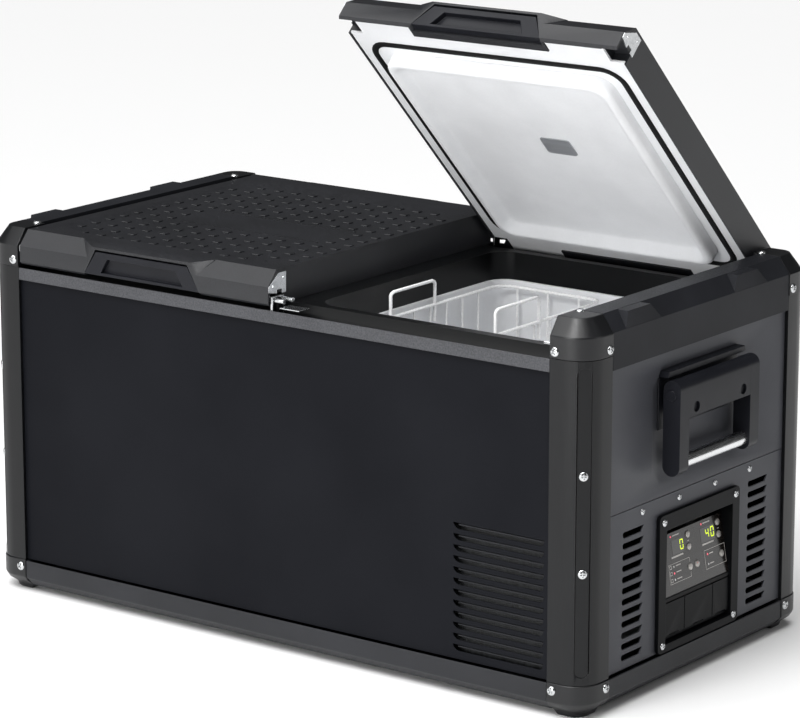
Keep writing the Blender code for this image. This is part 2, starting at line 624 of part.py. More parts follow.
for side, sign in (("right", 1), ("left", -1)):
    hinge = Vector((sign * HANDLE_PIN_X, 0, HANDLE_PIN_Z))
    arm = [*arc(ARM_MID, HANDLE_TOP - ARM_RADIUS, ARM_RADIUS, 0, 180, 10),
           *arc(ARM_MID, HANDLE_LOW + ARM_RADIUS, ARM_RADIUS, 180, 360, 10)]
    hood = [*arc(ARM_MID, HANDLE_TOP - ARM_RADIUS, ARM_RADIUS - 0.00005, 0, 100, 6),
            *arc(ARM_MID, HANDLE_TOP - ARM_RADIUS, ARM_RADIUS - HOOD_WALL, 100, 0, 6),
            (HANDLE_FACE - HOOD_WALL, WINDOW_TOP), (HANDLE_FACE - 0.00005, WINDOW_TOP)]
    handle = add(f"carry_handle_{side}", prism(mirrored(arm, sign), "y", -ARM_Y1, -ARM_Y0),
                 "black_plastic", origin=hinge)
    cutter(f"handle_arm_{side}", prism(mirrored(arm, sign), "y", ARM_Y0, ARM_Y1), handle, "UNION")
    cutter(f"handle_hood_{side}", prism(mirrored(hood, sign), "y", -ARM_Y0 - 0.001, ARM_Y0 + 0.001),
           handle, "UNION")
    grip_x, grip_z = sign * ARM_MID, 0.2640
    cutter(f"handle_grip_{side}", rod((grip_x, -ARM_Y0 - 0.001, grip_z), (grip_x, ARM_Y0 + 0.001, grip_z),
                                      GRIP_RADIUS, 20), handle, "UNION")
    cutter(f"handle_bore_{side}", rod(hinge - Vector((0, 0.09, 0)), hinge + Vector((0, 0.09, 0)),
                                      0.0060, 20), handle)

    floor = PANEL_X - 0.0035 + GAP
    low, high = sorted((sign * floor, sign * (floor + 0.002)))
    mount = add(f"handle_mount_{side}", box((low, -0.060, 0.302), (high, 0.060, 0.330)), "black_plastic")
    for ear_side in (-1, 1):
        ear = [(floor + 0.001, 0.303), (0.4510, 0.3385), (0.4510, 0.3475), (0.4402, 0.3475),
               (floor + 0.001, 0.3295)]
        y0, y1 = sorted((ear_side * 0.050, ear_side * 0.0598))
        cutter(f"mount_ear_{side}_{ear_side}", prism(mirrored(ear, sign), "y", y0, y1), mount, "UNION")
    cutter(f"mount_pin_{side}", rod(hinge - Vector((0, 0.0822, 0)), hinge + Vector((0, 0.0822, 0)),
                                    0.0052, 20), mount, "UNION")


# ---- lids ----

FLANGE_BOTTOM, FLANGE_THICK = 0.4105, 0.003
PLUG_HALF_X, PLUG_HALF_Y, PLUG_BOTTOM = 0.1535, 0.173, 0.3945
LATCH_NOTCH = (0.092, 0.2110)       # half width and inner edge of the latch block, seen from below


def flange_outline(centre, margin):
    """The liner flange's outline: a rectangle with a notch for the latch block on each long side."""
    x, y = LID_HALF_X - 0.002 - margin, RAIL_Y - 0.004 - margin
    nx, ny = LATCH_NOTCH[0] + margin, LATCH_NOTCH[1] - margin
    quarter = [(x, y), (nx, y), (nx, ny)]
    points = [*quarter, *[(-a, b) for a, b in reversed(quarter)],
              *[(-a, -b) for a, b in quarter], *[(a, -b) for a, b in reversed(quarter)]]
    return [(centre + a, b) for a, b in points]


def pin_notches(piece, name, centre):
    """Notches at the four corners, open below, in which the lid rests on the hinge pins."""
    for sx in (-1, 1):
        for sy in (-1, 1):
            x0, x1 = sorted((centre + sx * (LID_HALF_X - 0.0205), centre + sx * (LID_HALF_X + 0.002)))
            y0, y1 = sorted((sy * (PIN_Y - 0.0085), sy * (PIN_Y + 0.0085)))
            cutter(f"{name}_notch_{sx}_{sy}", box((x0, y0, 0.395), (x1, y1, PIN_Z + 0.006)), piece)


def lid(side, sign, angle):
    """A lid of shell, liner, gasket and two latch handles, modelled closed and turned about its pins."""
    centre = sign * LID_MID
    hinge = pivot(f"lid_{side}_hinge", (centre, PIN_Y, PIN_Z), -angle)
    low, high = centre - LID_HALF_X, centre + LID_HALF_X
    slope = 0.0155
    half = [(RAIL_Y - 0.003, LID_BOTTOM), (RAIL_Y, LID_BOTTOM + 0.003), (RAIL_Y, LID_EDGE),
            (RAIL_Y - slope, LID_TOP)]
    section = [*half, *[(-y, z) for y, z in reversed(half)]]
    shell = add(f"lid_{side}_shell", prism(section, "x", low, high), "charcoal_plastic", hinge)
    for sy in (-1, 1):
        block = [(centre + BLOCK_HALF[0], LID_EDGE - 0.004), (centre + BLOCK_HALF[1], BLOCK_TOP),
                 (centre - BLOCK_HALF[1], BLOCK_TOP), (centre - BLOCK_HALF[0], LID_EDGE - 0.004)]
        y0, y1 = sorted((sy * (RAIL_Y - 0.0001), sy * 0.205))
        cutter(f"{side}_block_{sy}", prism(block, "y", y0, y1), shell, "UNION")
    cutter(f"{side}_flange_seat", prism(flange_outline(centre, 0), "z", 0.400,
                                        FLANGE_BOTTOM + FLANGE_THICK + GAP), shell)
    cutter(f"{side}_hollow", box((low + 0.005, -0.200, 0.400), (high - 0.005, 0.200, LID_TOP - 0.004)), shell)
    for sy in (-1, 1):
        pocket_top = FLAP_TOP + FLAP_LIFT + 0.0005
        pocket = [(centre + 0.0918, 0.4085), (centre + 0.0700, pocket_top),
                  (centre - 0.0700, pocket_top), (centre - 0.0918, 0.4085)]
        y0, y1 = sorted((sy * 0.2215, sy * 0.240))
        cutter(f"{side}_pocket_{sy}", prism(pocket, "y", y0, y1), shell)
    pin_notches(shell, f"{side}_shell", centre)

    liner = add(f"lid_{side}_liner", prism(flange_outline(centre, GAP), "z", FLANGE_BOTTOM,
                                           FLANGE_BOTTOM + FLANGE_THICK), "white_liner", hinge)
    plug = rounded(centre - PLUG_HALF_X, -PLUG_HALF_Y, centre + PLUG_HALF_X, PLUG_HALF_Y, 0.022)
    cutter(f"{side}_plug", prism(plug, "z", PLUG_BOTTOM, FLANGE_BOTTOM + 0.001), liner, "UNION")
    levels = []
    for inset, z in ((0.008, PLUG_BOTTOM - 0.004), (0.008, PLUG_BOTTOM + 0.0005), (0.022, 0.4045)):
        x, y = PLUG_HALF_X - inset, PLUG_HALF_Y - inset
        levels.append((rounded(centre - x, -y, centre + x, y, 0.018), z))
    cutter(f"{side}_dish", stacked(levels), liner)
    pin_notches(liner, f"{side}_liner", centre)

    outer = rounded(centre - 0.1745, -0.1905, centre + 0.1745, 0.1905, 0.028)
    inner = rounded(centre - 0.1665, -0.1825, centre + 0.1665, 0.1825, 0.020)
    add(f"lid_{side}_gasket", ring(outer, inner, RIM_TOP + GAP, FLANGE_BOTTOM - GAP), "rubber", hinge)

    for edge, sy in (("front", -1), ("rear", 1)):
        flap = [(centre + 0.0881, 0.4115), (centre + 0.0696, FLAP_TOP),
                (centre - 0.0696, FLAP_TOP), (centre - 0.0881, 0.4115)]
        y0, y1 = sorted((sy * 0.2220, sy * (RAIL_Y - 0.0002)))
        latch = add(f"latch_{side}_{edge}", prism(flap, "y", y0, y1), "black_plastic", hinge)
        recess = [(centre + 0.0625, 0.4150), (centre + 0.0520, 0.4320),
                  (centre - 0.0520, 0.4320), (centre - 0.0625, 0.4150)]
        y0, y1 = sorted((sy * (RAIL_Y - 0.0070), sy * (RAIL_Y + 0.002)))
        cutter(f"{side}_{edge}_recess", prism(recess, "y", y0, y1), latch)


lid("left", -1, 0.0)
lid("right", 1, OPEN_ANGLE)
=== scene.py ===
import math

import bmesh
import bpy
from mathutils import Matrix, Vector


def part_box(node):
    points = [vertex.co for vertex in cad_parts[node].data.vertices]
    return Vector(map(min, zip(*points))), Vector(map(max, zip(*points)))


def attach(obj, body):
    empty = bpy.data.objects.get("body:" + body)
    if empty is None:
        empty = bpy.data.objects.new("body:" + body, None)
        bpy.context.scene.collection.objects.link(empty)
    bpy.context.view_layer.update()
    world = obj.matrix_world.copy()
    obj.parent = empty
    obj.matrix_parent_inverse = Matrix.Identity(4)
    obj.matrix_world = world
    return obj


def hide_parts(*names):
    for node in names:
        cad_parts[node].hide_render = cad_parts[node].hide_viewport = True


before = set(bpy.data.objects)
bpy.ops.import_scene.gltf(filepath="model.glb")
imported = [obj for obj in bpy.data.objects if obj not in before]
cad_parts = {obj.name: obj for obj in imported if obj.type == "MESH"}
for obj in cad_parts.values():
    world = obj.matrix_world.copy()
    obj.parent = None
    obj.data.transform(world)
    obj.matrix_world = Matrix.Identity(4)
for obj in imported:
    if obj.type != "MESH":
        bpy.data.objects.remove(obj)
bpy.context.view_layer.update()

# Every size below is the cabinet's own, from its middle. The cabinet stands this far off the model's middle.
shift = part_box("top_cap_front_left")[0].y + 0.2325


# ---- Base pan ----
# The folded steel pan that everything stands in. Its upturned edges are the bottom rails of the cabinet.
# It is powder coated: a dry, dark skin with a fine orange-peel grain.

def hexed(code):
    """An sRGB hex colour as the linear values that a shader takes."""
    parts = [int(code[index:index + 2], 16) / 255 for index in (1, 3, 5)]
    return (*[part / 12.92 if part <= 0.04045 else ((part + 0.055) / 1.055) ** 2.4 for part in parts], 1.0)


def add_node(tree, kind, inputs=None, **settings):
    """Adds a node with its settings, and links or sets its inputs."""
    node = tree.nodes.new("ShaderNode" + kind)
    for name, value in settings.items():
        setattr(node, name, value)
    for name, value in (inputs or {}).items():
        if isinstance(value, bpy.types.NodeSocket):
            tree.links.new(value, node.inputs[name])
        else:
            node.inputs[name].default_value = value
    return node


MERGE = 1e-6                            # metres: vertices nearer than this are one
FLAT = 0.01                             # radians: faces closer to flush than this are one


def surface(name, slot, tones, rough, grain=1.2, relief=0.00003, patch=45, speckle=0.4,
            stretch=(1, 1, 1), sockets=None):
    """A surface whose colour drifts between two tones and whose fine grain turns the light.

    The grain and the patches of tone are in millimetres, the relief is the grain's height in metres.
    """
    material = bpy.data.materials.new(name)
    material.use_nodes = True
    material["slot"] = slot
    tree = material.node_tree
    shader = tree.nodes["Principled BSDF"]
    place = add_node(tree, "Mapping", {"Vector": add_node(tree, "TexCoord").outputs["Object"], "Scale": stretch})
    drift = add_node(tree, "TexNoise", {"Vector": place.outputs[0], "Scale": 1000 / patch, "Detail": 4.0})
    grains = add_node(tree, "TexNoise", {"Vector": place.outputs[0], "Scale": 1000 / grain, "Detail": 2.0})
    mixed = add_node(tree, "Mix", {"Factor": speckle, "A": drift.outputs[0], "B": grains.outputs[0]},
                     data_type="FLOAT")
    ramp = add_node(tree, "ValToRGB", {"Fac": mixed.outputs[0]})
    for element, stop, tone in zip(ramp.color_ramp.elements, (0.36, 0.64), tones):
        element.position, element.color = stop, hexed(tone)
    gloss = add_node(tree, "MapRange", {"Value": grains.outputs[0], "From Min": 0.3, "From Max": 0.7,
                                        "To Min": rough[0], "To Max": rough[1]})
    bump = add_node(tree, "Bump", {"Height": grains.outputs[0], "Strength": 1.0, "Distance": relief})
    tree.links.new(ramp.outputs["Color"], shader.inputs["Base Color"])
    tree.links.new(gloss.outputs[0], shader.inputs["Roughness"])
    tree.links.new(bump.outputs[0], shader.inputs["Normal"])
    for socket, value in (sockets or {}).items():
        shader.inputs[socket].default_value = value
    return material


PIN = Vector((0, 0.212, 0.4165))        # the rear hinge pins, about which the right lid stands open
OPENED = Matrix.Translation(PIN) @ Matrix.Rotation(math.radians(-45), 4, "X") @ Matrix.Translation(-PIN)
SHIFTED = Matrix.Translation((0, shift, 0))


def piece(name, bm, material, body, replaced=(), opened=False, bevel=0.0, segments=2, sharp=35):
    """Makes an object of a mesh in the cabinet's coordinates, puts it in place and gives it its body."""
    bmesh.ops.recalc_face_normals(bm, faces=bm.faces)
    bmesh.ops.transform(bm, matrix=SHIFTED @ OPENED if opened else SHIFTED, verts=bm.verts)
    mesh = bpy.data.meshes.new(name)
    bm.to_mesh(mesh)
    bm.free()
    item = bpy.data.objects.new(name, mesh)
    bpy.context.collection.objects.link(item)
    mesh.shade_smooth()
    mesh.set_sharp_from_angle(angle=math.radians(sharp))
    mesh.materials.append(material)
    if bevel:
        edges = item.modifiers.new("softened edges", "BEVEL")
        edges.width, edges.segments = bevel, segments
        edges.angle_limit = math.radians(32)
        edges.harden_normals = True
    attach(item, body)
    if replaced:
        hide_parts(*replaced)
    return item


def reworked(node, opened=False):
    """A copy of a structural piece, its loose triangles merged to whole faces, in the cabinet's coordinates."""
    bm = bmesh.new()
    bm.from_mesh(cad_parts[node].data)
    back = (SHIFTED @ OPENED if opened else SHIFTED).inverted()
    bmesh.ops.transform(bm, matrix=back, verts=bm.verts)
    bmesh.ops.remove_doubles(bm, verts=bm.verts, dist=MERGE)
    bmesh.ops.dissolve_limit(bm, angle_limit=FLAT, verts=bm.verts, edges=bm.edges)
    return bm


# Powder-coated steel: the grain of the baked powder is about 1 mm, drawn at 1.6 mm so that it shows.
powder = surface("powder_coated_steel", "powder_coat", ("#1C1D20", "#25262A"), (0.40, 0.54), grain=1.6,
                 relief=0.00004, patch=90, sockets={"Specular IOR Level": 0.3})
piece("pan_finished", reworked("base_pan"), powder, "cabinet", ["base_pan"], bevel=0.0012)


# ---- Corner posts ----
# Extruded aluminium angles with a round outer corner, anodised black. A flat channel runs down the corner
# of each, where two cross-head screws hold it to the frame inside.

def block(low, high, bm=None):
    """A box between two corners, on its own or added to a mesh."""
    bm = bm or bmesh.new()
    low, high = Vector(low), Vector(high)
    size = Matrix.Diagonal((*(high - low), 1))
    bmesh.ops.create_cube(bm, size=1, matrix=Matrix.Translation((low + high) / 2) @ size)
    return bm


def prism(outline, axis, start, end, bm=None):
    """Extrudes an outline along an axis. Its points hold the other two coordinates, in X, Y, Z order."""
    bm = bm or bmesh.new()
    index = "xyz".index(axis)

    def at(point, along):
        values = list(point)
        values.insert(index, along)
        return Vector(values)

    face = bm.faces.new([bm.verts.new(at(point, start)) for point in outline])
    extruded = bmesh.ops.extrude_face_region(bm, geom=[face], use_keep_orig=True)
    moved = [part for part in extruded["geom"] if isinstance(part, bmesh.types.BMVert)]
    bmesh.ops.translate(bm, verts=moved, vec=at((0, 0), end - start))
    return bm


def rod(start, end, radius, segments=24, bm=None, tip=None):
    """A round bar from start to end, or a cone where the tip has its own radius."""
    bm = bm or bmesh.new()
    start, end = Vector(start), Vector(end)
    turn = (end - start).to_track_quat("Z", "Y").to_matrix().to_4x4()
    bmesh.ops.create_cone(bm, cap_ends=True, segments=segments, radius1=radius,
                          radius2=radius if tip is None else tip, depth=(end - start).length,
                          matrix=Matrix.Translation((start + end) / 2) @ turn)
    return bm


def carved(*shapes, operation="DIFFERENCE"):
    """The first shape with each other one cut out of it, or joined on."""
    items = []
    for bm in shapes:
        bmesh.ops.recalc_face_normals(bm, faces=bm.faces)
        mesh = bpy.data.meshes.new("shape")
        bm.to_mesh(mesh)
        bm.free()
        items.append(bpy.data.objects.new("shape", mesh))
        bpy.context.collection.objects.link(items[-1])
    for tool in items[1:]:
        cut = items[0].modifiers.new("cut", "BOOLEAN")
        cut.operation, cut.solver, cut.object = operation, "EXACT", tool
    bm = bmesh.new()
    bm.from_object(items[0], bpy.context.evaluated_depsgraph_get())
    for item in items:
        bpy.data.meshes.remove(item.data)
    bmesh.ops.remove_doubles(bm, verts=bm.verts, dist=MERGE)
    bmesh.ops.dissolve_limit(bm, angle_limit=FLAT, verts=bm.verts, edges=bm.edges)
    return bm


# Black anodised aluminium: a satin metal skin with faint draw lines along each post.
anodised = surface("anodised_aluminium_black", "black_aluminium", ("#090A0C", "#0F1012"), (0.28, 0.38),
                   grain=1.0, relief=0.00001, patch=60, speckle=0.5, stretch=(1, 1, 0.03),
                   sockets={"Specular IOR Level": 0.3})
SIDES = (("front_left", -1, -1), ("front_right", 1, -1), ("rear_left", -1, 1), ("rear_right", 1, 1))
CORNER_MIDDLE = (0.403, 0.2005)         # centre of the posts' round corners
CHANNEL_LOW, CHANNEL_HIGH, CHANNEL_HALF = 0.050, 0.398, 0.0080
CHANNEL_DEPTH, CHANNEL_OPEN = 0.0292, 0.040     # its floor, and a place outside the post, from that centre
for side, sx, sy in SIDES:
    channel = block((CHANNEL_DEPTH, -CHANNEL_HALF, CHANNEL_LOW + CHANNEL_HALF),
                    (CHANNEL_OPEN, CHANNEL_HALF, CHANNEL_HIGH - CHANNEL_HALF))
    ends = [rod((CHANNEL_DEPTH, 0, z), (CHANNEL_OPEN, 0, z), CHANNEL_HALF, 24)
            for z in (CHANNEL_LOW + CHANNEL_HALF, CHANNEL_HIGH - CHANNEL_HALF)]
    turn = Matrix.Translation((sx * CORNER_MIDDLE[0], sy * CORNER_MIDDLE[1], 0)) @ Matrix.Rotation(
        math.atan2(sy, sx), 4, "Z")
    for tool in (channel, *ends):
        bmesh.ops.transform(tool, matrix=turn, verts=tool.verts)
    piece(f"post_{side}", carved(reworked(f"corner_post_{side}"), channel, *ends), anodised, "cabinet",
          [f"corner_post_{side}"], bevel=0.0006)


# ---- Corner caps ----
# Glass-filled nylon caps close the posts above and below. The top ones slope in above a waist and carry
# the outer hinge pins, the bottom ones are the feet.

# Moulded nylon: a soft black sheen with the grain of a spark-eroded mould, 0.7 mm, drawn at 1.4 mm.
nylon = surface("moulded_nylon_black", "black_plastic", ("#090A0C", "#0E0F12"), (0.32, 0.44), grain=1.4,
                relief=0.00002, patch=40, sockets={"Specular IOR Level": 0.45})
for side, sx, sy in SIDES:
    for level in ("top", "bottom"):
        piece(f"cap_{level}_{side}", reworked(f"{level}_cap_{side}"), nylon, "cabinet",
              [f"{level}_cap_{side}"], bevel=0.0014, segments=3)


# ---- Screws of the corners ----
# Cross-head pan screws, zinc plated. Each cap has one on either face and the top caps one above,
# and each post has two down its channel.

# Bright zinc plate: a mirror-like grey metal, very slightly clouded.
zinc = surface("zinc_plated_steel", "steel", ("#B9BBBD", "#D9DBDC"), (0.16, 0.28), grain=0.8,
               relief=0.000008, patch=6, sockets={"Metallic": 1.0})


def pan_head():
    """One pan head with its cross recess, standing on z = 0 and facing up."""
    bm = bmesh.new()
    profile = [(0, -0.0010), (0.0060, -0.0010), (0.0062, 0.0004), (0.0059, 0.0012), (0.0048, 0.0022),
               (0.0028, 0.0028), (0, 0.0030)]
    verts = [bm.verts.new((radius, 0, z)) for radius, z in profile]
    edges = [bm.edges.new(pair) for pair in zip(verts, verts[1:])]
    bmesh.ops.spin(bm, geom=verts + edges, cent=(0, 0, 0), axis=(0, 0, 1), angle=math.tau, steps=24,
                   use_merge=True)
    bmesh.ops.remove_doubles(bm, verts=bm.verts, dist=MERGE)
    arms = [block((-0.0033, -0.0007, 0.0011), (0.0033, 0.0007, 0.0050)),
            block((-0.0007, -0.0033, 0.0011), (0.0007, 0.0033, 0.0050))]
    bm = carved(bm, *arms)
    mesh = bpy.data.meshes.new("pan_head")
    bm.to_mesh(mesh)
    bm.free()
    return mesh


PAN_HEAD, HEAD_SCALE = pan_head(), 0.9


def screw(bm, place, facing, size=1.0):
    """Adds a pan head on a surface, turned by an amount of its own about its axis."""
    place = Vector(place)
    known = set(bm.verts)
    bm.from_mesh(PAN_HEAD)
    turn = Vector(facing).to_track_quat("Z", "Y").to_matrix().to_4x4()
    twist = Matrix.Rotation(place.dot((311, 173, 229)), 4, "Z")
    sized = Matrix.Scale(size * HEAD_SCALE, 4)
    bmesh.ops.transform(bm, matrix=Matrix.Translation(place) @ turn @ twist @ sized,
                        verts=[vert for vert in bm.verts if vert not in known])


CAP_FACE_X, CAP_FACE_Y, CAP_TOP = 0.4350, 0.2325, 0.4508
CAP_SCREW_X, CAP_SCREW_Y, CAP_SCREW_HEIGHTS, POST_SCREW_HEIGHTS = 0.3921, 0.1896, (0.0320, 0.4139), (0.168, 0.278)
reach = CHANNEL_DEPTH / math.sqrt(2)    # from the round corner's centre to the channel's floor, along either axis
corner_screws = bmesh.new()
for side, sx, sy in SIDES:
    for z in CAP_SCREW_HEIGHTS:
        screw(corner_screws, (sx * CAP_SCREW_X, sy * CAP_FACE_Y, z), (0, sy, 0))
        screw(corner_screws, (sx * CAP_FACE_X, sy * CAP_SCREW_Y, z), (sx, 0, 0))
    screw(corner_screws, (sx * 0.3936, sy * 0.1867, CAP_TOP), (0, 0, 1))
    for z in POST_SCREW_HEIGHTS:
        screw(corner_screws, (sx * (CORNER_MIDDLE[0] + reach), sy * (CORNER_MIDDLE[1] + reach), z),
              (sx, sy, 0))
piece("corner_screws", corner_screws, zinc, "cabinet")


# ---- Top rails and end rails ----
# The long rails are folded aluminium strips, the end rails moulded beams with two raised blocks each.
# They close the cabinet's upper edge between the caps.

# Painted rails: charcoal lacquer with a mineral fleck of about 1 mm, drawn at 2 mm.
lacquer = surface("lacquered_aluminium_charcoal", "black_aluminium", ("#292A2E", "#444549"), (0.36, 0.5),
                  grain=2.0, relief=0.00004, patch=70, speckle=0.75, sockets={"Specular IOR Level": 0.5})
# Moulded ABS: charcoal with a satin grain.
charcoal = surface("moulded_abs_charcoal", "charcoal_plastic", ("#1C1D20", "#25262A"), (0.38, 0.5),
                   grain=1.6, relief=0.00003, patch=60, sockets={"Specular IOR Level": 0.12})
for edge in ("front", "rear"):
    piece(f"rail_{edge}", reworked(f"top_rail_{edge}"), lacquer, "cabinet", [f"top_rail_{edge}"], bevel=0.0005)
for side in ("right", "left"):
    piece(f"end_beam_{side}", reworked(f"end_rail_{side}"), charcoal, "cabinet", [f"end_rail_{side}"],
          bevel=0.0010, segments=3)


# ---- Front panel ----
# A flat powder-coated steel sheet with twelve pressed air slots in front of the condenser.
# Behind each slot a thin round bar keeps fingers out.

PANEL_Y, PANEL_X = 0.2268, 0.4293
PANEL_LOW, PANEL_HIGH, PANEL_HALF, SHEET = 0.0412, 0.3905, 0.400, 0.0015
SLOT_X0, SLOT_X1, SLOT_PITCH = 0.2545, 0.3770, 0.01285
SLOT_TOPS = [0.1994 - index * SLOT_PITCH for index in range(12)]
STRIP_Y, STRIP_DROP, STRIP_RADIUS = 0.0035 - PANEL_Y, 0.0026, 0.00125
slots, strips = bmesh.new(), bmesh.new()
for top in SLOT_TOPS:
    prism([(SLOT_X0, top), (SLOT_X0 + 0.001, top - 0.0035), (SLOT_X0 + 0.0045, top - 0.0065),
           (SLOT_X0 + 0.009, top - 0.0074), (SLOT_X1 - 0.005, top - 0.0074), (SLOT_X1 - 0.0015, top - 0.0055),
           (SLOT_X1, top)], "y", -0.235, -0.220, slots)
    rod((SLOT_X0 + 0.006, STRIP_Y, top - STRIP_DROP), (SLOT_X1 - 0.001, STRIP_Y, top - STRIP_DROP),
        STRIP_RADIUS, 12, strips)
sheet = block((-PANEL_HALF, -PANEL_Y, PANEL_LOW), (PANEL_HALF, -PANEL_Y + SHEET, PANEL_HIGH))
# Sheet steel under a flat, fine-grained powder coat: nearly black, with little gloss.
panel_front = surface("powder_coated_sheet", "powder_coat", ("#121317", "#17181C"), (0.42, 0.5), grain=1.6,
                      relief=0.00002, patch=140, speckle=0.3, sockets={"Specular IOR Level": 0.05})
piece("front_sheet", carved(sheet, slots), panel_front, "cabinet", ["front_panel"], bevel=0.0004)
# The bars take the base pan's lighter, glossier coat rather than the sheet's: a painted highlight for the light caught
# on their tops inside the slots.
piece("front_slot_strips", strips, powder, "cabinet")


# ---- Rear panel ----
# The same sheet without slots, with a shallow pressed border that stiffens it.

rear = block((-PANEL_HALF, PANEL_Y - SHEET, PANEL_LOW), (PANEL_HALF, PANEL_Y, PANEL_HIGH))
outer_face = max(rear.faces, key=lambda face: face.calc_center_median().y)
for thickness, depth in ((0.024, 0.0), (0.0025, -0.0008)):
    bmesh.ops.inset_region(rear, faces=[outer_face], thickness=thickness, depth=depth)
piece("rear_sheet", rear, panel_front, "cabinet", ["rear_panel"])


# ---- End panels and service cover ----
# Satin powder-coated panels. The upper one has the sloping recess of the carry handle. Below it on the
# right end a screwed cover with two rows of air slots takes the control panel.

# Satin grey powder coat: lighter than the long panels, with the same orange-peel grain. The lighter grey is partly the
# panels' own tone and partly painted light, standing in for the light that falls on the right-hand end.
satin_grey_and_side_light = surface("satin_powder_coat_grey_and_side_light", "grey_panel", ("#3F4045", "#48494E"), (0.36, 0.46), grain=1.6,
                relief=0.00002, patch=120, speckle=0.3, sockets={"Specular IOR Level": 0.2})
for side in ("right", "left"):
    piece(f"end_sheet_{side}", reworked(f"end_panel_{side}"), satin_grey_and_side_light, "cabinet", [f"end_panel_{side}"],
          bevel=0.0006)

COVER_HALF, COVER_TOP, COVER_SCREWS_Z = 0.197, 0.2230, 0.2145
CUTOUT_HALF, CUTOUT_LOW, CUTOUT_HIGH, CUT = 0.0800, 0.0455, 0.1985, 0.01
cover = block((PANEL_X - 0.002, -COVER_HALF, PANEL_LOW), (PANEL_X, COVER_HALF, COVER_TOP))
cutout = block((PANEL_X - CUT, -CUTOUT_HALF, CUTOUT_LOW), (PANEL_X + CUT, CUTOUT_HALF, CUTOUT_HIGH))
slots, strips = bmesh.new(), bmesh.new()
for y0, y1 in ((-0.1512, -0.1095), (0.1095, 0.1512)):
    for top in SLOT_TOPS:
        prism([(y0 + 0.0015, top), (y0, top - 0.002), (y0 + 0.0006, top - 0.0052), (y0 + 0.0028, top - 0.0070),
               (y1 - 0.0050, top - 0.0070), (y1, top)], "x", PANEL_X - CUT, PANEL_X + CUT, slots)
        rod((PANEL_X - 0.0050, y0 + 0.012, top - 0.0016), (PANEL_X - 0.0050, y1 - 0.001, top - 0.0016),
            0.0010, 10, strips)
piece("service_sheet", carved(cover, cutout, slots), satin_grey_and_side_light, "cabinet", ["service_cover"], bevel=0.0004)
piece("service_slot_strips", strips, satin_grey_and_side_light, "cabinet")
cover_screws = bmesh.new()
for y in (-0.112, -0.0375, 0.0375, 0.112):
    screw(cover_screws, (PANEL_X, y, COVER_SCREWS_Z), (1, 0, 0), 0.72)
piece("cover_screws", cover_screws, zinc, "cabinet")


# ---- Top frame ----
# One moulded frame around both openings, black, with a trough along each long side for the lids' edges.

# Moulded ABS: deep black with a soft gloss.
rim_black = surface("moulded_rim_black", "black_plastic", ("#050607", "#08090A"), (0.3, 0.4), grain=1.4,
                    relief=0.00002, patch=40, sockets={"Specular IOR Level": 0.2})
piece("opening_frame", reworked("top_frame"), rim_black, "cabinet", ["top_frame"], bevel=0.0008)


# ---- Tubs ----
# Vacuum-formed liners of white food-grade plastic. The right one steps up over the compressor.

# White liner plastic: smooth, slightly glossy, with a faint warm drift where the sheet was drawn thin.
liner_white = surface("vacuum_formed_liner_white", "white_liner", ("#E6E7E9", "#EEEFF1"), (0.28, 0.36),
                      grain=3.0, relief=0.00002, patch=60, speckle=0.2,
                      sockets={"Subsurface Weight": 0.06, "Subsurface Radius": (0.004, 0.004, 0.004)})
for side in ("left", "right"):
    piece(f"liner_tub_{side}", reworked(f"tub_{side}"), liner_white, "cabinet", [f"tub_{side}"],
          bevel=0.0009, segments=3)


# ---- Cooling unit and foam, inside ----
# Poured foam around the tubs, and in the bay the compressor, its condenser, the fan in its
# shroud and the electronics box. They keep their structural shapes, and only take materials here.
# The condenser's fins are drawn near black: painted shade for the dark inside behind the front slots.

foam = surface("poured_polyurethane_foam", "foam", ("#C9B98A", "#DACCA2"), (0.8, 0.95), grain=2.2,
               relief=0.0004, patch=30)
drawn_steel = surface("deep_drawn_steel_enamelled", "steel", ("#151618", "#1F2022"), (0.25, 0.4), grain=1.5,
                      relief=0.00003)
# Condenser fins, near black with stripes along the fins: the dark tone is painted shade, which keeps the front slots
# black.
slot_shade_fins = surface("dark_fins_painted_slot_shade", "aluminium", ("#0E0F10", "#26282A"), (0.4, 0.6), grain=2.0,
               relief=0.0006, patch=2.0, speckle=0.8, stretch=(1, 0.02, 0.02))
cast = surface("die_cast_aluminium", "aluminium", ("#8F9193", "#A7A9AB"), (0.35, 0.5), grain=1.5,
               relief=0.00004, sockets={"Metallic": 1.0})
fan_black = surface("moulded_pbt_black", "black_plastic", ("#0D0E0F", "#161718"), (0.4, 0.55), grain=1.2)
for node, finish in (("foam_block", foam), ("compressor", drawn_steel), ("condenser", slot_shade_fins),
                     ("controller", cast), ("fan_shroud", fan_black), ("fan_rotor", fan_black)):
    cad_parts[node].data.materials.clear()
    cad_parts[node].data.materials.append(finish)


# ---- Baskets ----
# Welded steel wire, dipped in white PVC: a thick rim wire, thinner wires down the sides and across the
# floor, and a fixed upright loop of wire on either long side to lift it by.

# PVC dip coating: thick, white and glossy, with soft sags.
dipped = surface("pvc_dipped_wire_white", "white_wire", ("#FAFAFA", "#FFFFFF"), (0.22, 0.32), grain=2.5,
                 relief=0.00004, patch=20)


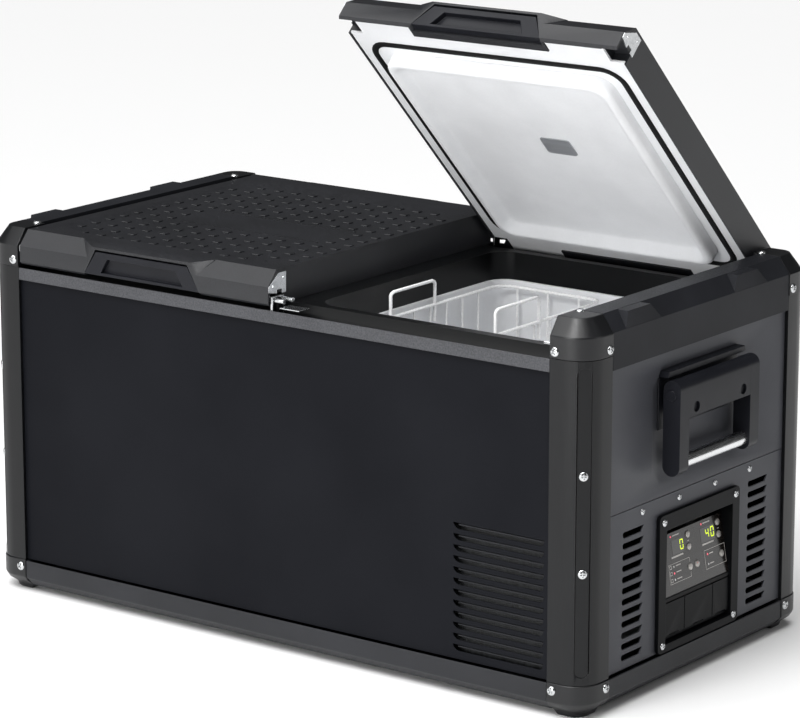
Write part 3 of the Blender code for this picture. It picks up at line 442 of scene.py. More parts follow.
def wire(points, radius, bm, closed=False, sides=2):
    """Adds a wire of round section that follows the points."""
    curve = bpy.data.curves.new("wire", "CURVE")
    curve.dimensions = "3D"
    curve.bevel_depth, curve.bevel_resolution, curve.use_fill_caps = radius, sides, True
    spline = curve.splines.new("POLY")
    spline.points.add(len(points) - 1)
    for target, point in zip(spline.points, points):
        target.co = (*point, 1)
    spline.use_cyclic_u = closed
    item = bpy.data.objects.new("wire", curve)
    bpy.context.collection.objects.link(item)
    bpy.context.view_layer.update()
    mesh = bpy.data.meshes.new_from_object(item)
    bm.from_mesh(mesh)
    bpy.data.objects.remove(item)
    bpy.data.curves.remove(curve)
    bpy.data.meshes.remove(mesh)


def rounded(x0, y0, x1, y1, radius, steps=6):
    """A rectangle's outline with round corners."""
    centres = ((x1 - radius, y1 - radius, 0), (x0 + radius, y1 - radius, 90),
               (x0 + radius, y0 + radius, 180), (x1 - radius, y0 + radius, 270))
    return [(cx + radius * math.cos(math.radians(first + 90 * step / steps)),
             cy + radius * math.sin(math.radians(first + 90 * step / steps)))
            for cx, cy, first in centres for step in range(steps + 1)]


BASKET_Y, BASKET_LOW, BASKET_RIM, BASKET_TOP = 0.172, 0.0595, 0.3685, 0.4000
RIM_WIRE, SIDE_WIRE, HOOP_WIRE = 0.0021, 0.0014, 0.0012         # radii over the PVC
PITCH_Y, PITCH_X, INSET, BEND = 0.0325, 0.0449, 0.0022, 0.008
LOOP_Y0, LOOP_Y1, LOOP_BEND, LOOP_INSET = -0.0515, 0.0355, 0.006, 0.0020


def side_path(start, end):
    """A side wire's places from rim to rim, as (distance across, height)."""
    return [(start + INSET, BASKET_RIM), (start + INSET, BASKET_LOW + 0.006), (start + BEND, BASKET_LOW),
            (end - BEND, BASKET_LOW), (end - INSET, BASKET_LOW + 0.006), (end - INSET, BASKET_RIM)]


for side, x0, x1, first, across, body in (("right", 0.034, 0.188, 0.0614, 3, "basket_right"),
                                          ("left", -0.350, -0.034, -0.3267, 7, "cabinet")):
    bm = bmesh.new()
    for z, radius in ((BASKET_RIM - 0.0002, RIM_WIRE), (0.292, HOOP_WIRE), (0.214, HOOP_WIRE), (0.136, HOOP_WIRE),
                      (BASKET_LOW, SIDE_WIRE)):
        hoop = rounded(x0 + LOOP_INSET, -BASKET_Y + LOOP_INSET, x1 - LOOP_INSET, BASKET_Y - LOOP_INSET, 0.018)
        wire([(x, y, z) for x, y in hoop], radius, bm, closed=True)
    for index in range(9):
        wire([(x, -0.1360 + PITCH_Y * index, z) for x, z in side_path(x0, x1)], SIDE_WIRE, bm)
    for index in range(across):
        wire([(first + PITCH_X * index, y, z) for y, z in side_path(-BASKET_Y, BASKET_Y)], SIDE_WIRE, bm)
    shoulder, crown = BASKET_TOP - LOOP_BEND * 0.3 - 0.0016, BASKET_TOP - 0.0019
    loop = [(LOOP_Y0, BASKET_RIM - 0.02), (LOOP_Y0, BASKET_TOP - LOOP_BEND), (LOOP_Y0 + LOOP_BEND * 0.3, shoulder),
            (LOOP_Y0 + LOOP_BEND, crown), (LOOP_Y1 - LOOP_BEND, crown), (LOOP_Y1 - LOOP_BEND * 0.3, shoulder),
            (LOOP_Y1, BASKET_TOP - LOOP_BEND), (LOOP_Y1, BASKET_RIM - 0.02)]
    for x in (x0 + LOOP_INSET, x1 - LOOP_INSET):
        wire([(x, y, z) for y, z in loop], RIM_WIRE, bm)
    piece(f"wire_basket_{side}", bm, dipped, body, [f"basket_{side}"], sharp=60)


# ---- Control panel ----
# A moulded frame screwed to the service cover. In it a smoked polycarbonate overlay leans back, printed
# from behind, and below it three sprung covers close the sockets.

# Moulded ABS, deep and dull black: the frame, the socket block and its covers.
deep_black = surface("moulded_abs_deep_black", "black_plastic", ("#08090B", "#0C0D0F"), (0.34, 0.46),
                     grain=1.2, relief=0.00002, patch=40, sockets={"Specular IOR Level": 0.09})
piece("control_bezel", reworked("control_frame"), deep_black, "cabinet", ["control_frame"],
      bevel=0.0013, segments=3)
BEZEL_FACE, BEZEL_SCREW_Y, BEZEL_SCREW_HEIGHTS = 0.4345, 0.0748, (0.0499, 0.1937)
frame_screws = bmesh.new()
for y in (-BEZEL_SCREW_Y, BEZEL_SCREW_Y):
    for z in BEZEL_SCREW_HEIGHTS:
        screw(frame_screws, (BEZEL_FACE, y, z), (1, 0, 0), 0.78)
piece("control_screws", frame_screws, zinc, "cabinet")
piece("sockets_finished", reworked("socket_block"), deep_black, "cabinet", ["socket_block"], bevel=0.0005)
for name in ("dc", "ac", "usb"):
    piece(f"socket_lid_{name}", reworked(f"port_cover_{name}"), deep_black, f"port_cover_{name}",
          [f"port_cover_{name}"], bevel=0.0006)

OVERLAY_LOW, OVERLAY_HIGH = Vector((0.4305, 0, 0.1030)), Vector((0.4190, 0, 0.1710))
UP = (OVERLAY_HIGH - OVERLAY_LOW).normalized()
OUT = Vector((UP.z, 0, -UP.x))
ON_OVERLAY = Matrix.Translation(OVERLAY_LOW) @ Matrix(((0, UP.x, OUT.x), (1, 0, 0), (0, UP.z, OUT.z))).to_4x4()
# Smoked polycarbonate: dark brown and smooth, with a soft shine of its own over the print.
overlay = surface("smoked_polycarbonate", "overlay", ("#120F0D", "#181412"), (0.20, 0.28), grain=1.0,
                  relief=0.000006, patch=50, sockets={"Coat Weight": 0.3, "Coat Roughness": 0.08})
piece("overlay_plate", reworked("control_overlay"), overlay, "cabinet", ["control_overlay"], bevel=0.0004)


def printed(name, shapes, material, height=0.00012):
    """Thin ink on the overlay. Each shape is an outline of points in millimetres, across and up the plate."""
    bm = bmesh.new()
    for outline in shapes:
        prism([(a / 1000, b / 1000) for a, b in outline], "z", -0.0001, height, bm)
    bmesh.ops.transform(bm, matrix=ON_OVERLAY, verts=bm.verts)
    return piece(name, bm, material, "cabinet")


def bar(a0, b0, a1, b1):
    """A printed rectangle's outline."""
    return [(a0, b0), (a1, b0), (a1, b1), (a0, b1)]


def frame_lines(a0, b0, a1, b1, thick=0.45):
    """The four lines of a printed box."""
    return [bar(a0, b0, a1, b0 + thick), bar(a0, b1 - thick, a1, b1), bar(a0, b0 + thick, a0 + thick, b1 - thick),
            bar(a1 - thick, b0 + thick, a1, b1 - thick)]


def segment_digit(a, b, lit, width=5.6, height=10.5, thick=1.3):
    """The lit bars of a seven-segment digit about a point."""
    w, h, t = width / 2, height / 2, thick / 2
    places = {"a": (-w, h - t, w, h + t), "g": (-w, -t, w, t), "d": (-w, -h - t, w, -h + t),
              "f": (-w - t, t, -w + t, h - t), "b": (w - t, t, w + t, h - t),
              "e": (-w - t, -h + t, -w + t, -t), "c": (w - t, -h + t, w + t, -t)}
    return [bar(a + places[key][0], b + places[key][1], a + places[key][2], b + places[key][3]) for key in lit]


# Screen-printed ink, white: flat and matt. The display windows are dark glossy plastic. The digits and
# the lamps are moulded epoxy over light-emitting diodes, which glow a little.
ink = surface("screen_printed_ink_white", "overlay", ("#B9B6B2", "#C9C6C2"), (0.5, 0.6), grain=1.0, relief=0.000004)
window = surface("display_window_dark", "overlay", ("#0B0B0A", "#12110F"), (0.08, 0.14), grain=1.0,
                 relief=0.000002, sockets={"Coat Weight": 0.6})
lit_green = surface("led_segments_yellow_green", "overlay", ("#C8DC2A", "#D6E83C"), (0.4, 0.5), grain=1.0,
                    relief=0.000002, sockets={"Emission Color": hexed("#C9E020"), "Emission Strength": 1.1})
lit_red = surface("led_lens_red", "overlay", ("#E0566A", "#EE7A88"), (0.3, 0.4), grain=1.0, relief=0.000002,
                  sockets={"Emission Color": hexed("#FF5A70"), "Emission Strength": 0.8})
printed("display_windows", [bar(-39.1, 43.1, -15.8, 59.9), bar(20.6, 42.9, 49.6, 59.8)], window, 0.00015)
printed("display_digits", segment_digit(-19.4, 52, "abcdef") + segment_digit(34.6, 52, "fgbc")
        + segment_digit(45.2, 52, "abcdef"), lit_green, 0.00025)
print_shapes = frame_lines(-50.5, 11.5, -7, 34)[:3] + frame_lines(24, 11.6, 67, 33.7)
print_shapes += [bar(-7.45, 11.95, -7, 17.6), bar(-7.45, 28.4, -7, 33.55)]
print_shapes += [bar(-42, 39.8, -18, 41.6), bar(22, 39.8, 46, 41.6), bar(-36, 64, -22, 65.4), bar(28, 64, 42, 65.4)]
for b in (30.6, 23.4, 15.5):
    print_shapes += frame_lines(-49, b - 2.0, -44.4, b + 2.0, 0.6) + [bar(-36, b - 0.6, -26, b + 0.6)]
for b in (28.4, 17.0):
    print_shapes += [bar(34, b - 0.6, 42, b + 0.6)]
print_shapes += [bar(-7, 52.2, -3.6, 53.0), bar(56, 52.2, 59.4, 53.0)]
printed("overlay_print", print_shapes, ink)


def lens(bm, a, b, radius):
    """A small domed lens on the overlay, a third as high as it is wide."""
    place = ON_OVERLAY @ Matrix.Translation((a / 1000, b / 1000, 0)) @ Matrix.Diagonal((1, 1, 0.35, 1))
    bmesh.ops.create_uvsphere(bm, u_segments=12, v_segments=8, radius=radius, matrix=place)


LENS_RADIUS = 0.0012
red_lenses, white_lenses = bmesh.new(), bmesh.new()
for a, b in ((-39.6, 64.6), (24.5, 64.6), (30.5, 28.4), (-40, 22.8)):
    lens(red_lenses, a, b, LENS_RADIUS)
for a, b in ((30.2, 17.0), (-40, 30.3), (-40, 15.4)):
    lens(white_lenses, a, b, LENS_RADIUS)
piece("led_lenses_red", red_lenses, lit_red, "cabinet")
lit_white = surface("led_lens_clear", "overlay", ("#D8D8D8", "#EEEEEE"), (0.2, 0.3), grain=1.0, relief=0.000002)
piece("led_lenses_clear", white_lenses, lit_white, "cabinet")

# Silver-grey keycaps: painted ABS, pressed through the overlay.
keys = surface("painted_abs_silver", "silver", ("#A19E9A", "#BBB8B4"), (0.28, 0.38), grain=0.8,
               relief=0.00001, patch=8, sockets={"Metallic": 0.5})
symbol_red = surface("printed_ink_red", "silver", ("#C23A3A", "#D04848"), (0.4, 0.5), grain=0.8, relief=0.000004)
BUTTONS = {"left_plus": (-5.3, 60.0), "left_minus": (-5.3, 45.9), "right_plus": (57.5, 60.0),
           "right_minus": (57.5, 45.9), "battery": (-7.5, 23.0), "power": (7.0, 23.0), "eco_max": (59.0, 23.0)}
KEY_PROFILE = [(0, -0.0036), (0.0041, -0.0036), (0.0041, 0.0004), (0.0038, 0.0010), (0.0031, 0.0013), (0, 0.0009)]
MARK_ARM, MARK_LINE, MARK_LOW, MARK_TOP = 0.0016, 0.0003, 0.0008, 0.00125         # the symbols' half sizes and heights
for name, (a, b) in BUTTONS.items():
    bm = bmesh.new()
    verts = [bm.verts.new((radius, 0, z)) for radius, z in KEY_PROFILE]
    edges = [bm.edges.new(pair) for pair in zip(verts, verts[1:])]
    bmesh.ops.spin(bm, geom=verts + edges, cent=(0, 0, 0), axis=(0, 0, 1), angle=math.tau, steps=24,
                   use_merge=True)
    bmesh.ops.remove_doubles(bm, verts=bm.verts, dist=MERGE)
    place = ON_OVERLAY @ Matrix.Translation((a / 1000, b / 1000, 0))
    bmesh.ops.transform(bm, matrix=place, verts=bm.verts)
    piece(f"key_{name}", bm, keys, f"button_{name}", [f"button_{name}"])
    mark = bmesh.new()
    if "plus" in name:
        prism([(-MARK_ARM, -MARK_LINE), (-MARK_LINE, -MARK_LINE), (-MARK_LINE, -MARK_ARM),
               (MARK_LINE, -MARK_ARM), (MARK_LINE, -MARK_LINE), (MARK_ARM, -MARK_LINE),
               (MARK_ARM, MARK_LINE), (MARK_LINE, MARK_LINE), (MARK_LINE, MARK_ARM),
               (-MARK_LINE, MARK_ARM), (-MARK_LINE, MARK_LINE), (-MARK_ARM, MARK_LINE)],
              "z", MARK_LOW, MARK_TOP, mark)
    elif "minus" in name:
        block((-MARK_ARM, -MARK_LINE, MARK_LOW), (MARK_ARM, MARK_LINE, MARK_TOP), mark)
    else:
        block((-MARK_LINE, 0.0004, MARK_LOW), (MARK_LINE, 0.0020, MARK_TOP), mark)
    bmesh.ops.transform(mark, matrix=place, verts=mark.verts)
    piece(f"mark_{name}", mark, symbol_red if name == "power" else ink, f"button_{name}")


# ---- Carry handles ----
# A moulded bail on each end, hung on a pin through two ears. The grip is a polished steel tube held
# between its arms. It swings up from rest on a plate screwed into the panel's recess.

# Moulded ABS, black: the bail, the ears and plates behind it, and the lids' latch flaps.
trim = surface("moulded_abs_black", "black_plastic", ("#14151A", "#1A1B20"), (0.32, 0.44), grain=1.2,
               relief=0.00002, patch=40, sockets={"Specular IOR Level": 0.2})
# Polished stainless steel: the grip, with faint lines along it from the belt.
polished = surface("polished_stainless_steel", "steel", ("#D2D4D6", "#E6E7E8"), (0.20, 0.30), grain=0.9,
                   relief=0.000004, patch=14, stretch=(1, 0.05, 1), sockets={"Metallic": 1.0})
FACE, BACK, PIN_X, PIN_Z = 0.4575, 0.4351, 0.4456, 0.343
ARM_X, ARM_R = (FACE + BACK) / 2, (FACE - BACK) / 2
ARM_Y0, ARM_Y1, HANDLE_TOP, HANDLE_LOW, WINDOW_TOP = 0.0640, 0.0828, 0.360, 0.251, 0.3166
HOOD_WALL, SKIN, LAP = 0.004, 0.00005, 0.001    # the hood's wall, its step below the arms, its reach into them
GRIP_Z, GRIP_RADIUS, BOLT_Y, BOLT_Z, PIN_BORE = 0.2640, 0.0082, 0.049, 0.326, 0.0060
PLATE_Y, PLATE_LOW, PLATE_HIGH, RIDGE_HIGH = 0.0815, 0.300, 0.3605, 0.3685


def arc(cx, cz, radius, first, last, steps):
    """Points of a circle between two angles in degrees."""
    return [(cx + radius * math.cos(math.radians(first + (last - first) * step / steps)),
             cz + radius * math.sin(math.radians(first + (last - first) * step / steps)))
            for step in range(steps + 1)]


def mirrored(outline, sign):
    """The outline for the end of the given sign, from the one on the right end."""
    return [(sign * a, b) for a, b in outline]


for side, sign in (("right", 1), ("left", -1)):
    top_centre = HANDLE_TOP - ARM_R
    arm = [*arc(ARM_X, top_centre, ARM_R, 0, 180, 14), *arc(ARM_X, HANDLE_LOW + ARM_R, ARM_R, 180, 360, 14)]
    hood = [*arc(ARM_X, top_centre, ARM_R - SKIN, 0, 100, 8), *arc(ARM_X, top_centre, ARM_R - HOOD_WALL, 100, 0, 8),
            (FACE - HOOD_WALL, WINDOW_TOP), (FACE - SKIN, WINDOW_TOP)]
    bail = carved(prism(mirrored(arm, sign), "y", -ARM_Y1, -ARM_Y0),
                  prism(mirrored(arm, sign), "y", ARM_Y0, ARM_Y1),
                  prism(mirrored(hood, sign), "y", -ARM_Y0 - LAP, ARM_Y0 + LAP), operation="UNION")
    bore = rod((sign * PIN_X, -0.09, PIN_Z), (sign * PIN_X, 0.09, PIN_Z), PIN_BORE)
    drilled = [rod((sign * (FACE - 0.0030), y, BOLT_Z), (sign * (FACE + 0.01), y, BOLT_Z), 0.0062)
               for y in (-BOLT_Y, BOLT_Y)]
    piece(f"bail_{side}", carved(bail, bore, *drilled), trim, f"handle_{side}", [f"carry_handle_{side}"],
          bevel=0.0011, segments=3)
    grip = rod((sign * ARM_X, -ARM_Y0 - 0.0005, GRIP_Z), (sign * ARM_X, ARM_Y0 + 0.0005, GRIP_Z), GRIP_RADIUS, 32)
    piece(f"grip_{side}", grip, polished, f"handle_{side}")

    piece(f"ears_{side}", reworked(f"handle_mount_{side}"), trim, "cabinet", [f"handle_mount_{side}"], bevel=0.0005)
    x0, x1, x2 = sign * 0.4262, sign * 0.4280, sign * 0.4400
    back = block((min(x0, x1), -PLATE_Y, PLATE_LOW), (max(x0, x1), PLATE_Y, PLATE_HIGH))
    ridge = [(-PLATE_Y, 0.3615), (PLATE_Y, 0.3615), (PLATE_Y - 0.0025, RIDGE_HIGH), (-PLATE_Y + 0.0025, RIDGE_HIGH)]
    prism(ridge, "x", min(x0, x2), max(x0, x2), back)
    piece(f"handle_back_{side}", back, trim, "cabinet", bevel=0.0012, segments=3)
    ends = bmesh.new()
    for sy in (-1, 1):
        rod((sign * PIN_X, sy * PLATE_Y, PIN_Z), (sign * PIN_X, sy * 0.0842, PIN_Z), 0.0069, 28, ends, tip=0.0060)
    piece(f"pin_ends_{side}", ends, trim, "cabinet", bevel=0.0004)


# ---- Lids ----
# Each lid is a moulded shell with a foamed core and a white liner below. A block in the middle of either
# long edge holds a latch. The top has a sunken field of square pads, and two plain bands cross it.

LID_MID, LID_HALF_X, RAIL_Y = 0.19225, 0.18975, 0.2315
LID_TOP, LID_EDGE, LID_LOW = 0.4495, 0.4316, 0.4090
NOTCH, NOTCH_Y0, NOTCH_Y1, NOTCH_TOP = 0.0205, 0.2035, 0.2286, 0.4225
FIELD_X0, FIELD_X1, FIELD_Y0, FIELD_Y1 = 0.006, 0.362, -0.193, 0.177
PAD_LONG, PAD_WIDE, PAD_PITCH_X, PAD_PITCH_Y = 0.0090, 0.0085, 0.0272, 0.0260
PAD_FLOOR, PAD_TOP = LID_TOP - 0.0042, LID_TOP - 0.0026
# One latch block's corners: half length, distance from the middle, height
LATCH_BLOCK = ((0.0832, 0.2315, 0.4310), (0.0744, 0.2315, 0.4451), (0.1000, 0.2170, 0.4495),
               (0.0832, 0.2050, 0.4310), (0.1000, 0.2050, 0.4495))
# Moulded shell: charcoal with a pronounced spark grain of about 1 mm, drawn at 2 mm.
shell_skin = surface("moulded_shell_charcoal", "charcoal_plastic", ("#121316", "#202125"), (0.36, 0.5),
                     grain=2.0, relief=0.00005, patch=80, speckle=0.65, sockets={"Specular IOR Level": 0.5})


def hulled(points):
    """The closed body that wraps a few points."""
    bm = bmesh.new()
    for point in points:
        bm.verts.new(point)
    result = bmesh.ops.convex_hull(bm, input=bm.verts)
    bmesh.ops.delete(bm, geom=[part for part in result["geom_interior"] if part.is_valid], context="VERTS")
    return bm


def lofted(levels):
    """A closed body through outlines at their heights, all with the same number of points."""
    bm = bmesh.new()
    loops = []
    for outline, z in levels:
        verts = [bm.verts.new((x, y, z)) for x, y in outline]
        loops.append([bm.edges.new(pair) for pair in zip(verts, verts[1:] + verts[:1])])
        if len(loops) in (1, len(levels)):
            bm.faces.new(verts)
    for lower, upper in zip(loops, loops[1:]):
        bmesh.ops.bridge_loops(bm, edges=lower + upper)
    return bm


def pin_notches(centre):
    """The blocks cut out at a lid's four corners, where it rests on the pins."""
    bm = bmesh.new()
    for sx in (-1, 1):
        for sy in (-1, 1):
            x0, x1 = sorted((centre + sx * (LID_HALF_X - NOTCH), centre + sx * (LID_HALF_X + 0.004)))
            y0, y1 = sorted((sy * NOTCH_Y0, sy * NOTCH_Y1))
            block((x0, y0, 0.380), (x1, y1, NOTCH_TOP), bm)
    return bm


def flange_outline(centre, margin):
    """The liner flange's outline: a rectangle with a notch for the latch block on each long side."""
    x, y = LID_HALF_X - 0.002 - margin, RAIL_Y - 0.004 - margin
    nx, ny = 0.092 + margin, 0.2110 - margin
    quarter = [(x, y), (nx, y), (nx, ny)]
    points = [*quarter, *[(-a, b) for a, b in reversed(quarter)], *[(-a, -b) for a, b in quarter],
              *[(a, -b) for a, b in reversed(quarter)]]
    return [(centre + a, b) for a, b in points]


LIDS = (("left", -1, False), ("right", 1, True))
for side, sign, opened in LIDS:
    body, centre = f"lid_{side}", sign * LID_MID
    half = [(RAIL_Y - 0.003, LID_LOW), (RAIL_Y, LID_LOW + 0.003), (RAIL_Y, LID_EDGE), (0.2160, LID_TOP)]
    shell = prism([*half, *[(-y, z) for y, z in reversed(half)]], "x", centre - LID_HALF_X, centre + LID_HALF_X)
    blocks = [hulled([(centre + sx * a, sy * b, z) for sx in (-1, 1) for a, b, z in LATCH_BLOCK])
              for sy in (-1, 1)]
    shell = carved(shell, *blocks, operation="UNION")

    seat = prism(flange_outline(centre, 0), "z", 0.400, 0.4138)
    pockets = [prism([(centre + 0.0918, 0.4085 - 0.004), (centre + 0.0700, 0.4420), (centre - 0.0700, 0.4420),
                      (centre - 0.0918, 0.4085 - 0.004)], "y", *sorted((sy * 0.2215, sy * 0.240))) for sy in (-1, 1)]
    # The sunken field: an octagon with sloping sides
    x0, x1 = sorted((sign * FIELD_X0, sign * FIELD_X1))
    field_levels = []
    for ends, front, back, z in ((0.0070, 0.0040, 0.0120, LID_TOP - 0.0040),
                                 (-0.0018, -0.0010, -0.0030, LID_TOP + 0.0010)):
        a0, a1, b0, b1 = x0 + ends, x1 - ends, FIELD_Y0 + front, FIELD_Y1 - back
        ca, cb = 0.048, 0.018
        field_levels.append(([(a0 + ca, b0), (a1 - ca, b0), (a1, b0 + cb), (a1, b1 - cb), (a1 - ca, b1),
                              (a0 + ca, b1), (a0, b1 - cb), (a0, b0 + cb)], z))
    shell = carved(shell, seat, *pockets, lofted(field_levels), pin_notches(centre))
    piece(f"shell_{side}", shell, shell_skin, body, [f"lid_{side}_shell"], opened, bevel=0.0010, segments=2)

    # Square pads in rows, with two thin raised lines where the rows stop
    pads = bmesh.new()
    for row in range(14):
        for column in range(13):
            near, low = 0.023 + PAD_PITCH_X * column, -0.1825 + PAD_PITCH_Y * row
            in_band = -0.062 < low < 0.012 and 0.066 <= near <= 0.279
            in_corner = row in (0, 13) and column in (0, 12)
            if in_band or in_corner:
                continue
            a0, a1 = sorted((sign * near, sign * (near + PAD_LONG)))
            pad = block((a0, low, PAD_FLOOR), (a1, low + PAD_WIDE, PAD_TOP))
            top_edges = [edge for edge in pad.edges if all(vert.co.z > PAD_TOP - 1e-5 for vert in edge.verts)]
            bmesh.ops.bevel(pad, geom=top_edges, offset=0.0005, affect="EDGES", segments=1, profile=0.5,
                            material=-1)
            mesh = bpy.data.meshes.new("pad")
            pad.to_mesh(mesh)
            pad.free()
            pads.from_mesh(mesh)
            bpy.data.meshes.remove(mesh)
    for y in (-0.0570, 0.0160):
        a0, a1 = sorted((sign * 0.068, sign * 0.275))
        block((a0, y - 0.0009, PAD_FLOOR), (a1, y + 0.0009, PAD_TOP), pads)
    piece(f"grip_pads_{side}", pads, shell_skin, body, (), opened)

    # Latch flaps, one in each block, each with a hollow for the fingers
    for edge in ("front", "rear"):
        piece(f"latch_flap_{side}_{edge}", reworked(f"latch_{side}_{edge}", opened), trim,
              f"latch_{side}_{edge}", [f"latch_{side}_{edge}"], opened, bevel=0.0007, segments=3)


# ---- Lid liners and gaskets ----
# The white liner is vacuum formed: a flange under the shell, and a plug with soft edges and a sunken
# middle that fills the opening. A rubber seal runs around the plug, and a blank metal badge sits inside.

# EPDM rubber: matt black, soft to the light.
epdm = surface("extruded_epdm_black", "rubber", ("#060607", "#0B0B0C"), (0.6, 0.75), grain=1.0, relief=0.00002,
               sockets={"Specular IOR Level": 0.2})
# Brushed aluminium sheet: short fine lines across the badge.
brushed = surface("brushed_aluminium_badge", "aluminium", ("#B4B6B9", "#C6C8CB"), (0.36, 0.48), grain=0.8,
                  relief=0.00001, patch=10, stretch=(0.05, 1, 1), sockets={"Metallic": 1.0})
# The plug from its root to its sunken middle: distance in from the side, height, corner radius
PLUG_PROFILE = ((0.0, 0.4110, 0.022), (0.0, 0.4010, 0.022), (0.0008, 0.3980, 0.0215), (0.0028, 0.3957, 0.020),
                (0.0056, 0.3946, 0.018), (0.0085, 0.3945, 0.017), (0.0108, 0.3953, 0.0165),
                (0.0180, 0.4052, 0.013), (0.0200, 0.4066, 0.012), (0.0225, 0.4073, 0.011),
                (0.0300, 0.4074, 0.010))
# The seal's section: distance out from its outer edge, height
SEAL_SECTION = ((0.0, 0.4104), (0.0, 0.4095), (-0.0010, 0.40885), (-0.0070, 0.40885), (-0.0080, 0.4095),
                (-0.0080, 0.4104))
PLUG_X, PLUG_Y, SEAL_X, SEAL_Y = 0.1535, 0.173, 0.1745, 0.1905
BADGE_OFF, BADGE_HALF, BADGE_Y0, BADGE_Y1 = 0.018, 0.0205, -0.0395, -0.0105
for side, sign, opened in LIDS:
    body, centre = f"lid_{side}", sign * LID_MID
    flange = prism(flange_outline(centre, 0.0003), "z", 0.4105, 0.4135)
    piece(f"liner_flange_{side}", carved(flange, pin_notches(centre)), liner_white, body,
          [f"lid_{side}_liner"], opened, bevel=0.0005)
    plug_levels = []
    for inset, z, radius in PLUG_PROFILE:
        x, y = PLUG_X - inset, PLUG_Y - inset
        plug_levels.append((rounded(centre - x, -y, centre + x, y, radius, 8), z))
    piece(f"liner_plug_{side}", lofted(plug_levels), liner_white, body, (), opened, sharp=50)
    seal = bmesh.new()
    loops = []
    for grow, z in SEAL_SECTION:
        x, y = SEAL_X + grow, SEAL_Y + grow
        outline = rounded(centre - x, -y, centre + x, y, 0.028 + grow)
        verts = [seal.verts.new((x, y, z)) for x, y in outline]
        loops.append([seal.edges.new(pair) for pair in zip(verts, verts[1:] + verts[:1])])
    for first, second in zip(loops, loops[1:] + loops[:1]):
        bmesh.ops.bridge_loops(seal, edges=first + second)
    piece(f"seal_{side}", seal, epdm, body, [f"lid_{side}_gasket"], opened)
    badge_x = centre + BADGE_OFF
    outline = rounded(badge_x - BADGE_HALF, BADGE_Y0, badge_x + BADGE_HALF, BADGE_Y1, 0.0035, 4)
    piece(f"badge_{side}", prism(outline, "z", 0.4060, 0.4075), brushed, body, (), opened, bevel=0.0003)


# ---- Hinge plates and pins ----
# Zinc-plated steel plates are riveted to the ends of each lid at its four corners. Their hooks grip the
# pins, which stand in the caps at the outer ends and in brackets between the lids.

# A plate's outline with the hook's slot in its lower edge, and its two rivets: distance from the middle, height
HINGE_PLATE = ((0.2310, 0.4247), (0.2310, 0.4314), (0.2130, 0.4455), (0.1996, 0.4454), (0.1999, 0.4212),
               (0.2075, 0.4212), (0.2075, 0.4262), (0.2165, 0.4262), (0.2165, 0.4220))
RIVETS = ((0.2230, 0.4310), (0.2045, 0.4390))
PIN_RADIUS, PIN_INNER, PIN_OUTER, BRACKET_LOW, BRACKET_TOP = 0.0026, 0.0187, (0.3652, 0.3850), 0.3942, 0.4202
for side, sign, opened in LIDS:
    body, centre = f"lid_{side}", sign * LID_MID
    plates = bmesh.new()
    for sx in (-1, 1):
        face = centre + sx * (LID_HALF_X + 0.0011)
        x_low, x_high = sorted((centre + sx * (LID_HALF_X - 0.0004), face))
        for sy in (-1, 1):
            prism([(sy * y, z) for y, z in HINGE_PLATE], "x", x_low, x_high, plates)
            for y, z in RIVETS:
                rod((face - sx * 0.0005, sy * y, z), (face + sx * 0.0009, sy * y, z), 0.0021, 16, plates, tip=0.0015)
    piece(f"hinge_plates_{side}", plates, zinc, body, (), opened, bevel=0.0002)

hardware = bmesh.new()
for sy in (-1, 1):
    y, z = sy * PIN.y, PIN.z
    rod((-PIN_INNER, y, z), (PIN_INNER, y, z), PIN_RADIUS, 16, hardware)
    for sx in (-1, 1):
        rod((sx * PIN_OUTER[0], y, z), (sx * PIN_OUTER[1], y, z), PIN_RADIUS, 16, hardware)
block((-0.0012, 0.2062, BRACKET_LOW), (0.0014, 0.2178, 0.4208), hardware)
# The front middle bracket: a bent strap with an open middle, a rolled sleeve across it and a foot plate
for y0, y1, z0, z1 in ((-0.2284, -0.2268, BRACKET_LOW, BRACKET_TOP), (-0.2284, -0.2062, 0.4184, BRACKET_TOP),
                       (-0.2090, -0.2062, BRACKET_LOW, BRACKET_TOP)):
    block((-0.0014, y0, z0), (0.0016, y1, z1), hardware)
rod((-0.0140, -0.2236, 0.4155), (0.0150, -0.2236, 0.4155), 0.0027, 16, hardware)
block((0.0100, -0.2262, 0.4074), (0.0380, -0.2070, 0.4086), hardware)
piece("hinge_hardware", hardware, zinc, "cabinet", bevel=0.0003)


# ---- Floor, light and camera ----
# A plain pale floor of seamless paper, a wide soft light above, soft boxes in front and at both sides, and a
# long lens.

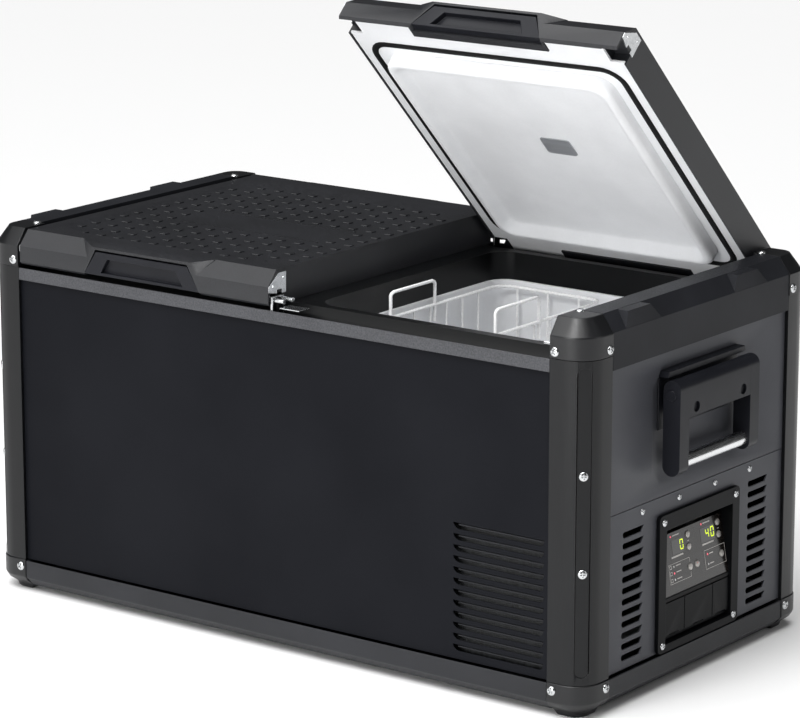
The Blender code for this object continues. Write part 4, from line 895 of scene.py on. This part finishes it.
floor_bm = bmesh.new()
bmesh.ops.create_grid(floor_bm, x_segments=1, y_segments=1, size=12)
floor_mesh = bpy.data.meshes.new("floor")
floor_bm.to_mesh(floor_mesh)
floor_bm.free()
studio_floor = bpy.data.objects.new("floor", floor_mesh)
bpy.context.collection.objects.link(studio_floor)
floor_mesh.materials.append(surface("seamless_paper_white", "powder_coat", ("#F3F3F3", "#F4F4F4"), (0.8, 0.9),
                                    grain=4.0, relief=0.00001, patch=3000))

world = bpy.data.worlds.new("studio")
bpy.context.scene.world = world
world.use_nodes = True
world.node_tree.nodes["Background"].inputs["Color"].default_value = (1, 1, 1, 1)
world.node_tree.nodes["Background"].inputs["Strength"].default_value = 0.05


def lamp(name, kind, place, aim, power, **settings):
    """A soft lamp at a place, pointed at another."""
    light = bpy.data.lights.new(name, kind)
    light.energy = power
    for key, value in settings.items():
        setattr(light, key, value)
    item = bpy.data.objects.new(name, light)
    bpy.context.collection.objects.link(item)
    item.location = place
    item.rotation_euler = (Vector(aim) - Vector(place)).to_track_quat("-Z", "Y").to_euler()


lamp("ceiling", "SUN", (-0.5, -1.2, 4.0), (0, 0, 0), 3.3, angle=math.radians(70))
for name, place, aim, power, wide, high in (
        ("front_left", (-2.6, -2.8, 1.6), (0, 0, 0.25), 20, 1.6, 2.0),
        ("right", (3.0, 0.8, 1.4), (0.4, 0, 0.3), 11, 1.2, 2.0),
        ("front", (0.3, -3.6, 0.8), (0.2, 0, 0.5), 55, 1.6, 0.8),
        ("over_tub", (0.3, -1.6, 2.3), (0.2, 0.05, 0.35), 26, 0.8, 0.8)):
    lamp(name, "AREA", place, aim, power, shape="RECTANGLE", size=wide, size_y=high)

lens_data = bpy.data.cameras.new("camera")
lens_data.lens, lens_data.sensor_width, lens_data.clip_end = 165.92, 36, 50
camera = bpy.data.objects.new("camera", lens_data)
bpy.context.collection.objects.link(camera)
camera.location = (2.55916, -3.40271 + shift, 1.34301)
camera.rotation_euler = Vector((-0.58231, 0.77760, -0.23722)).to_track_quat("-Z", "Y").to_euler()
bpy.context.scene.camera = camera
bpy.context.scene.view_settings.view_transform = "Standard"
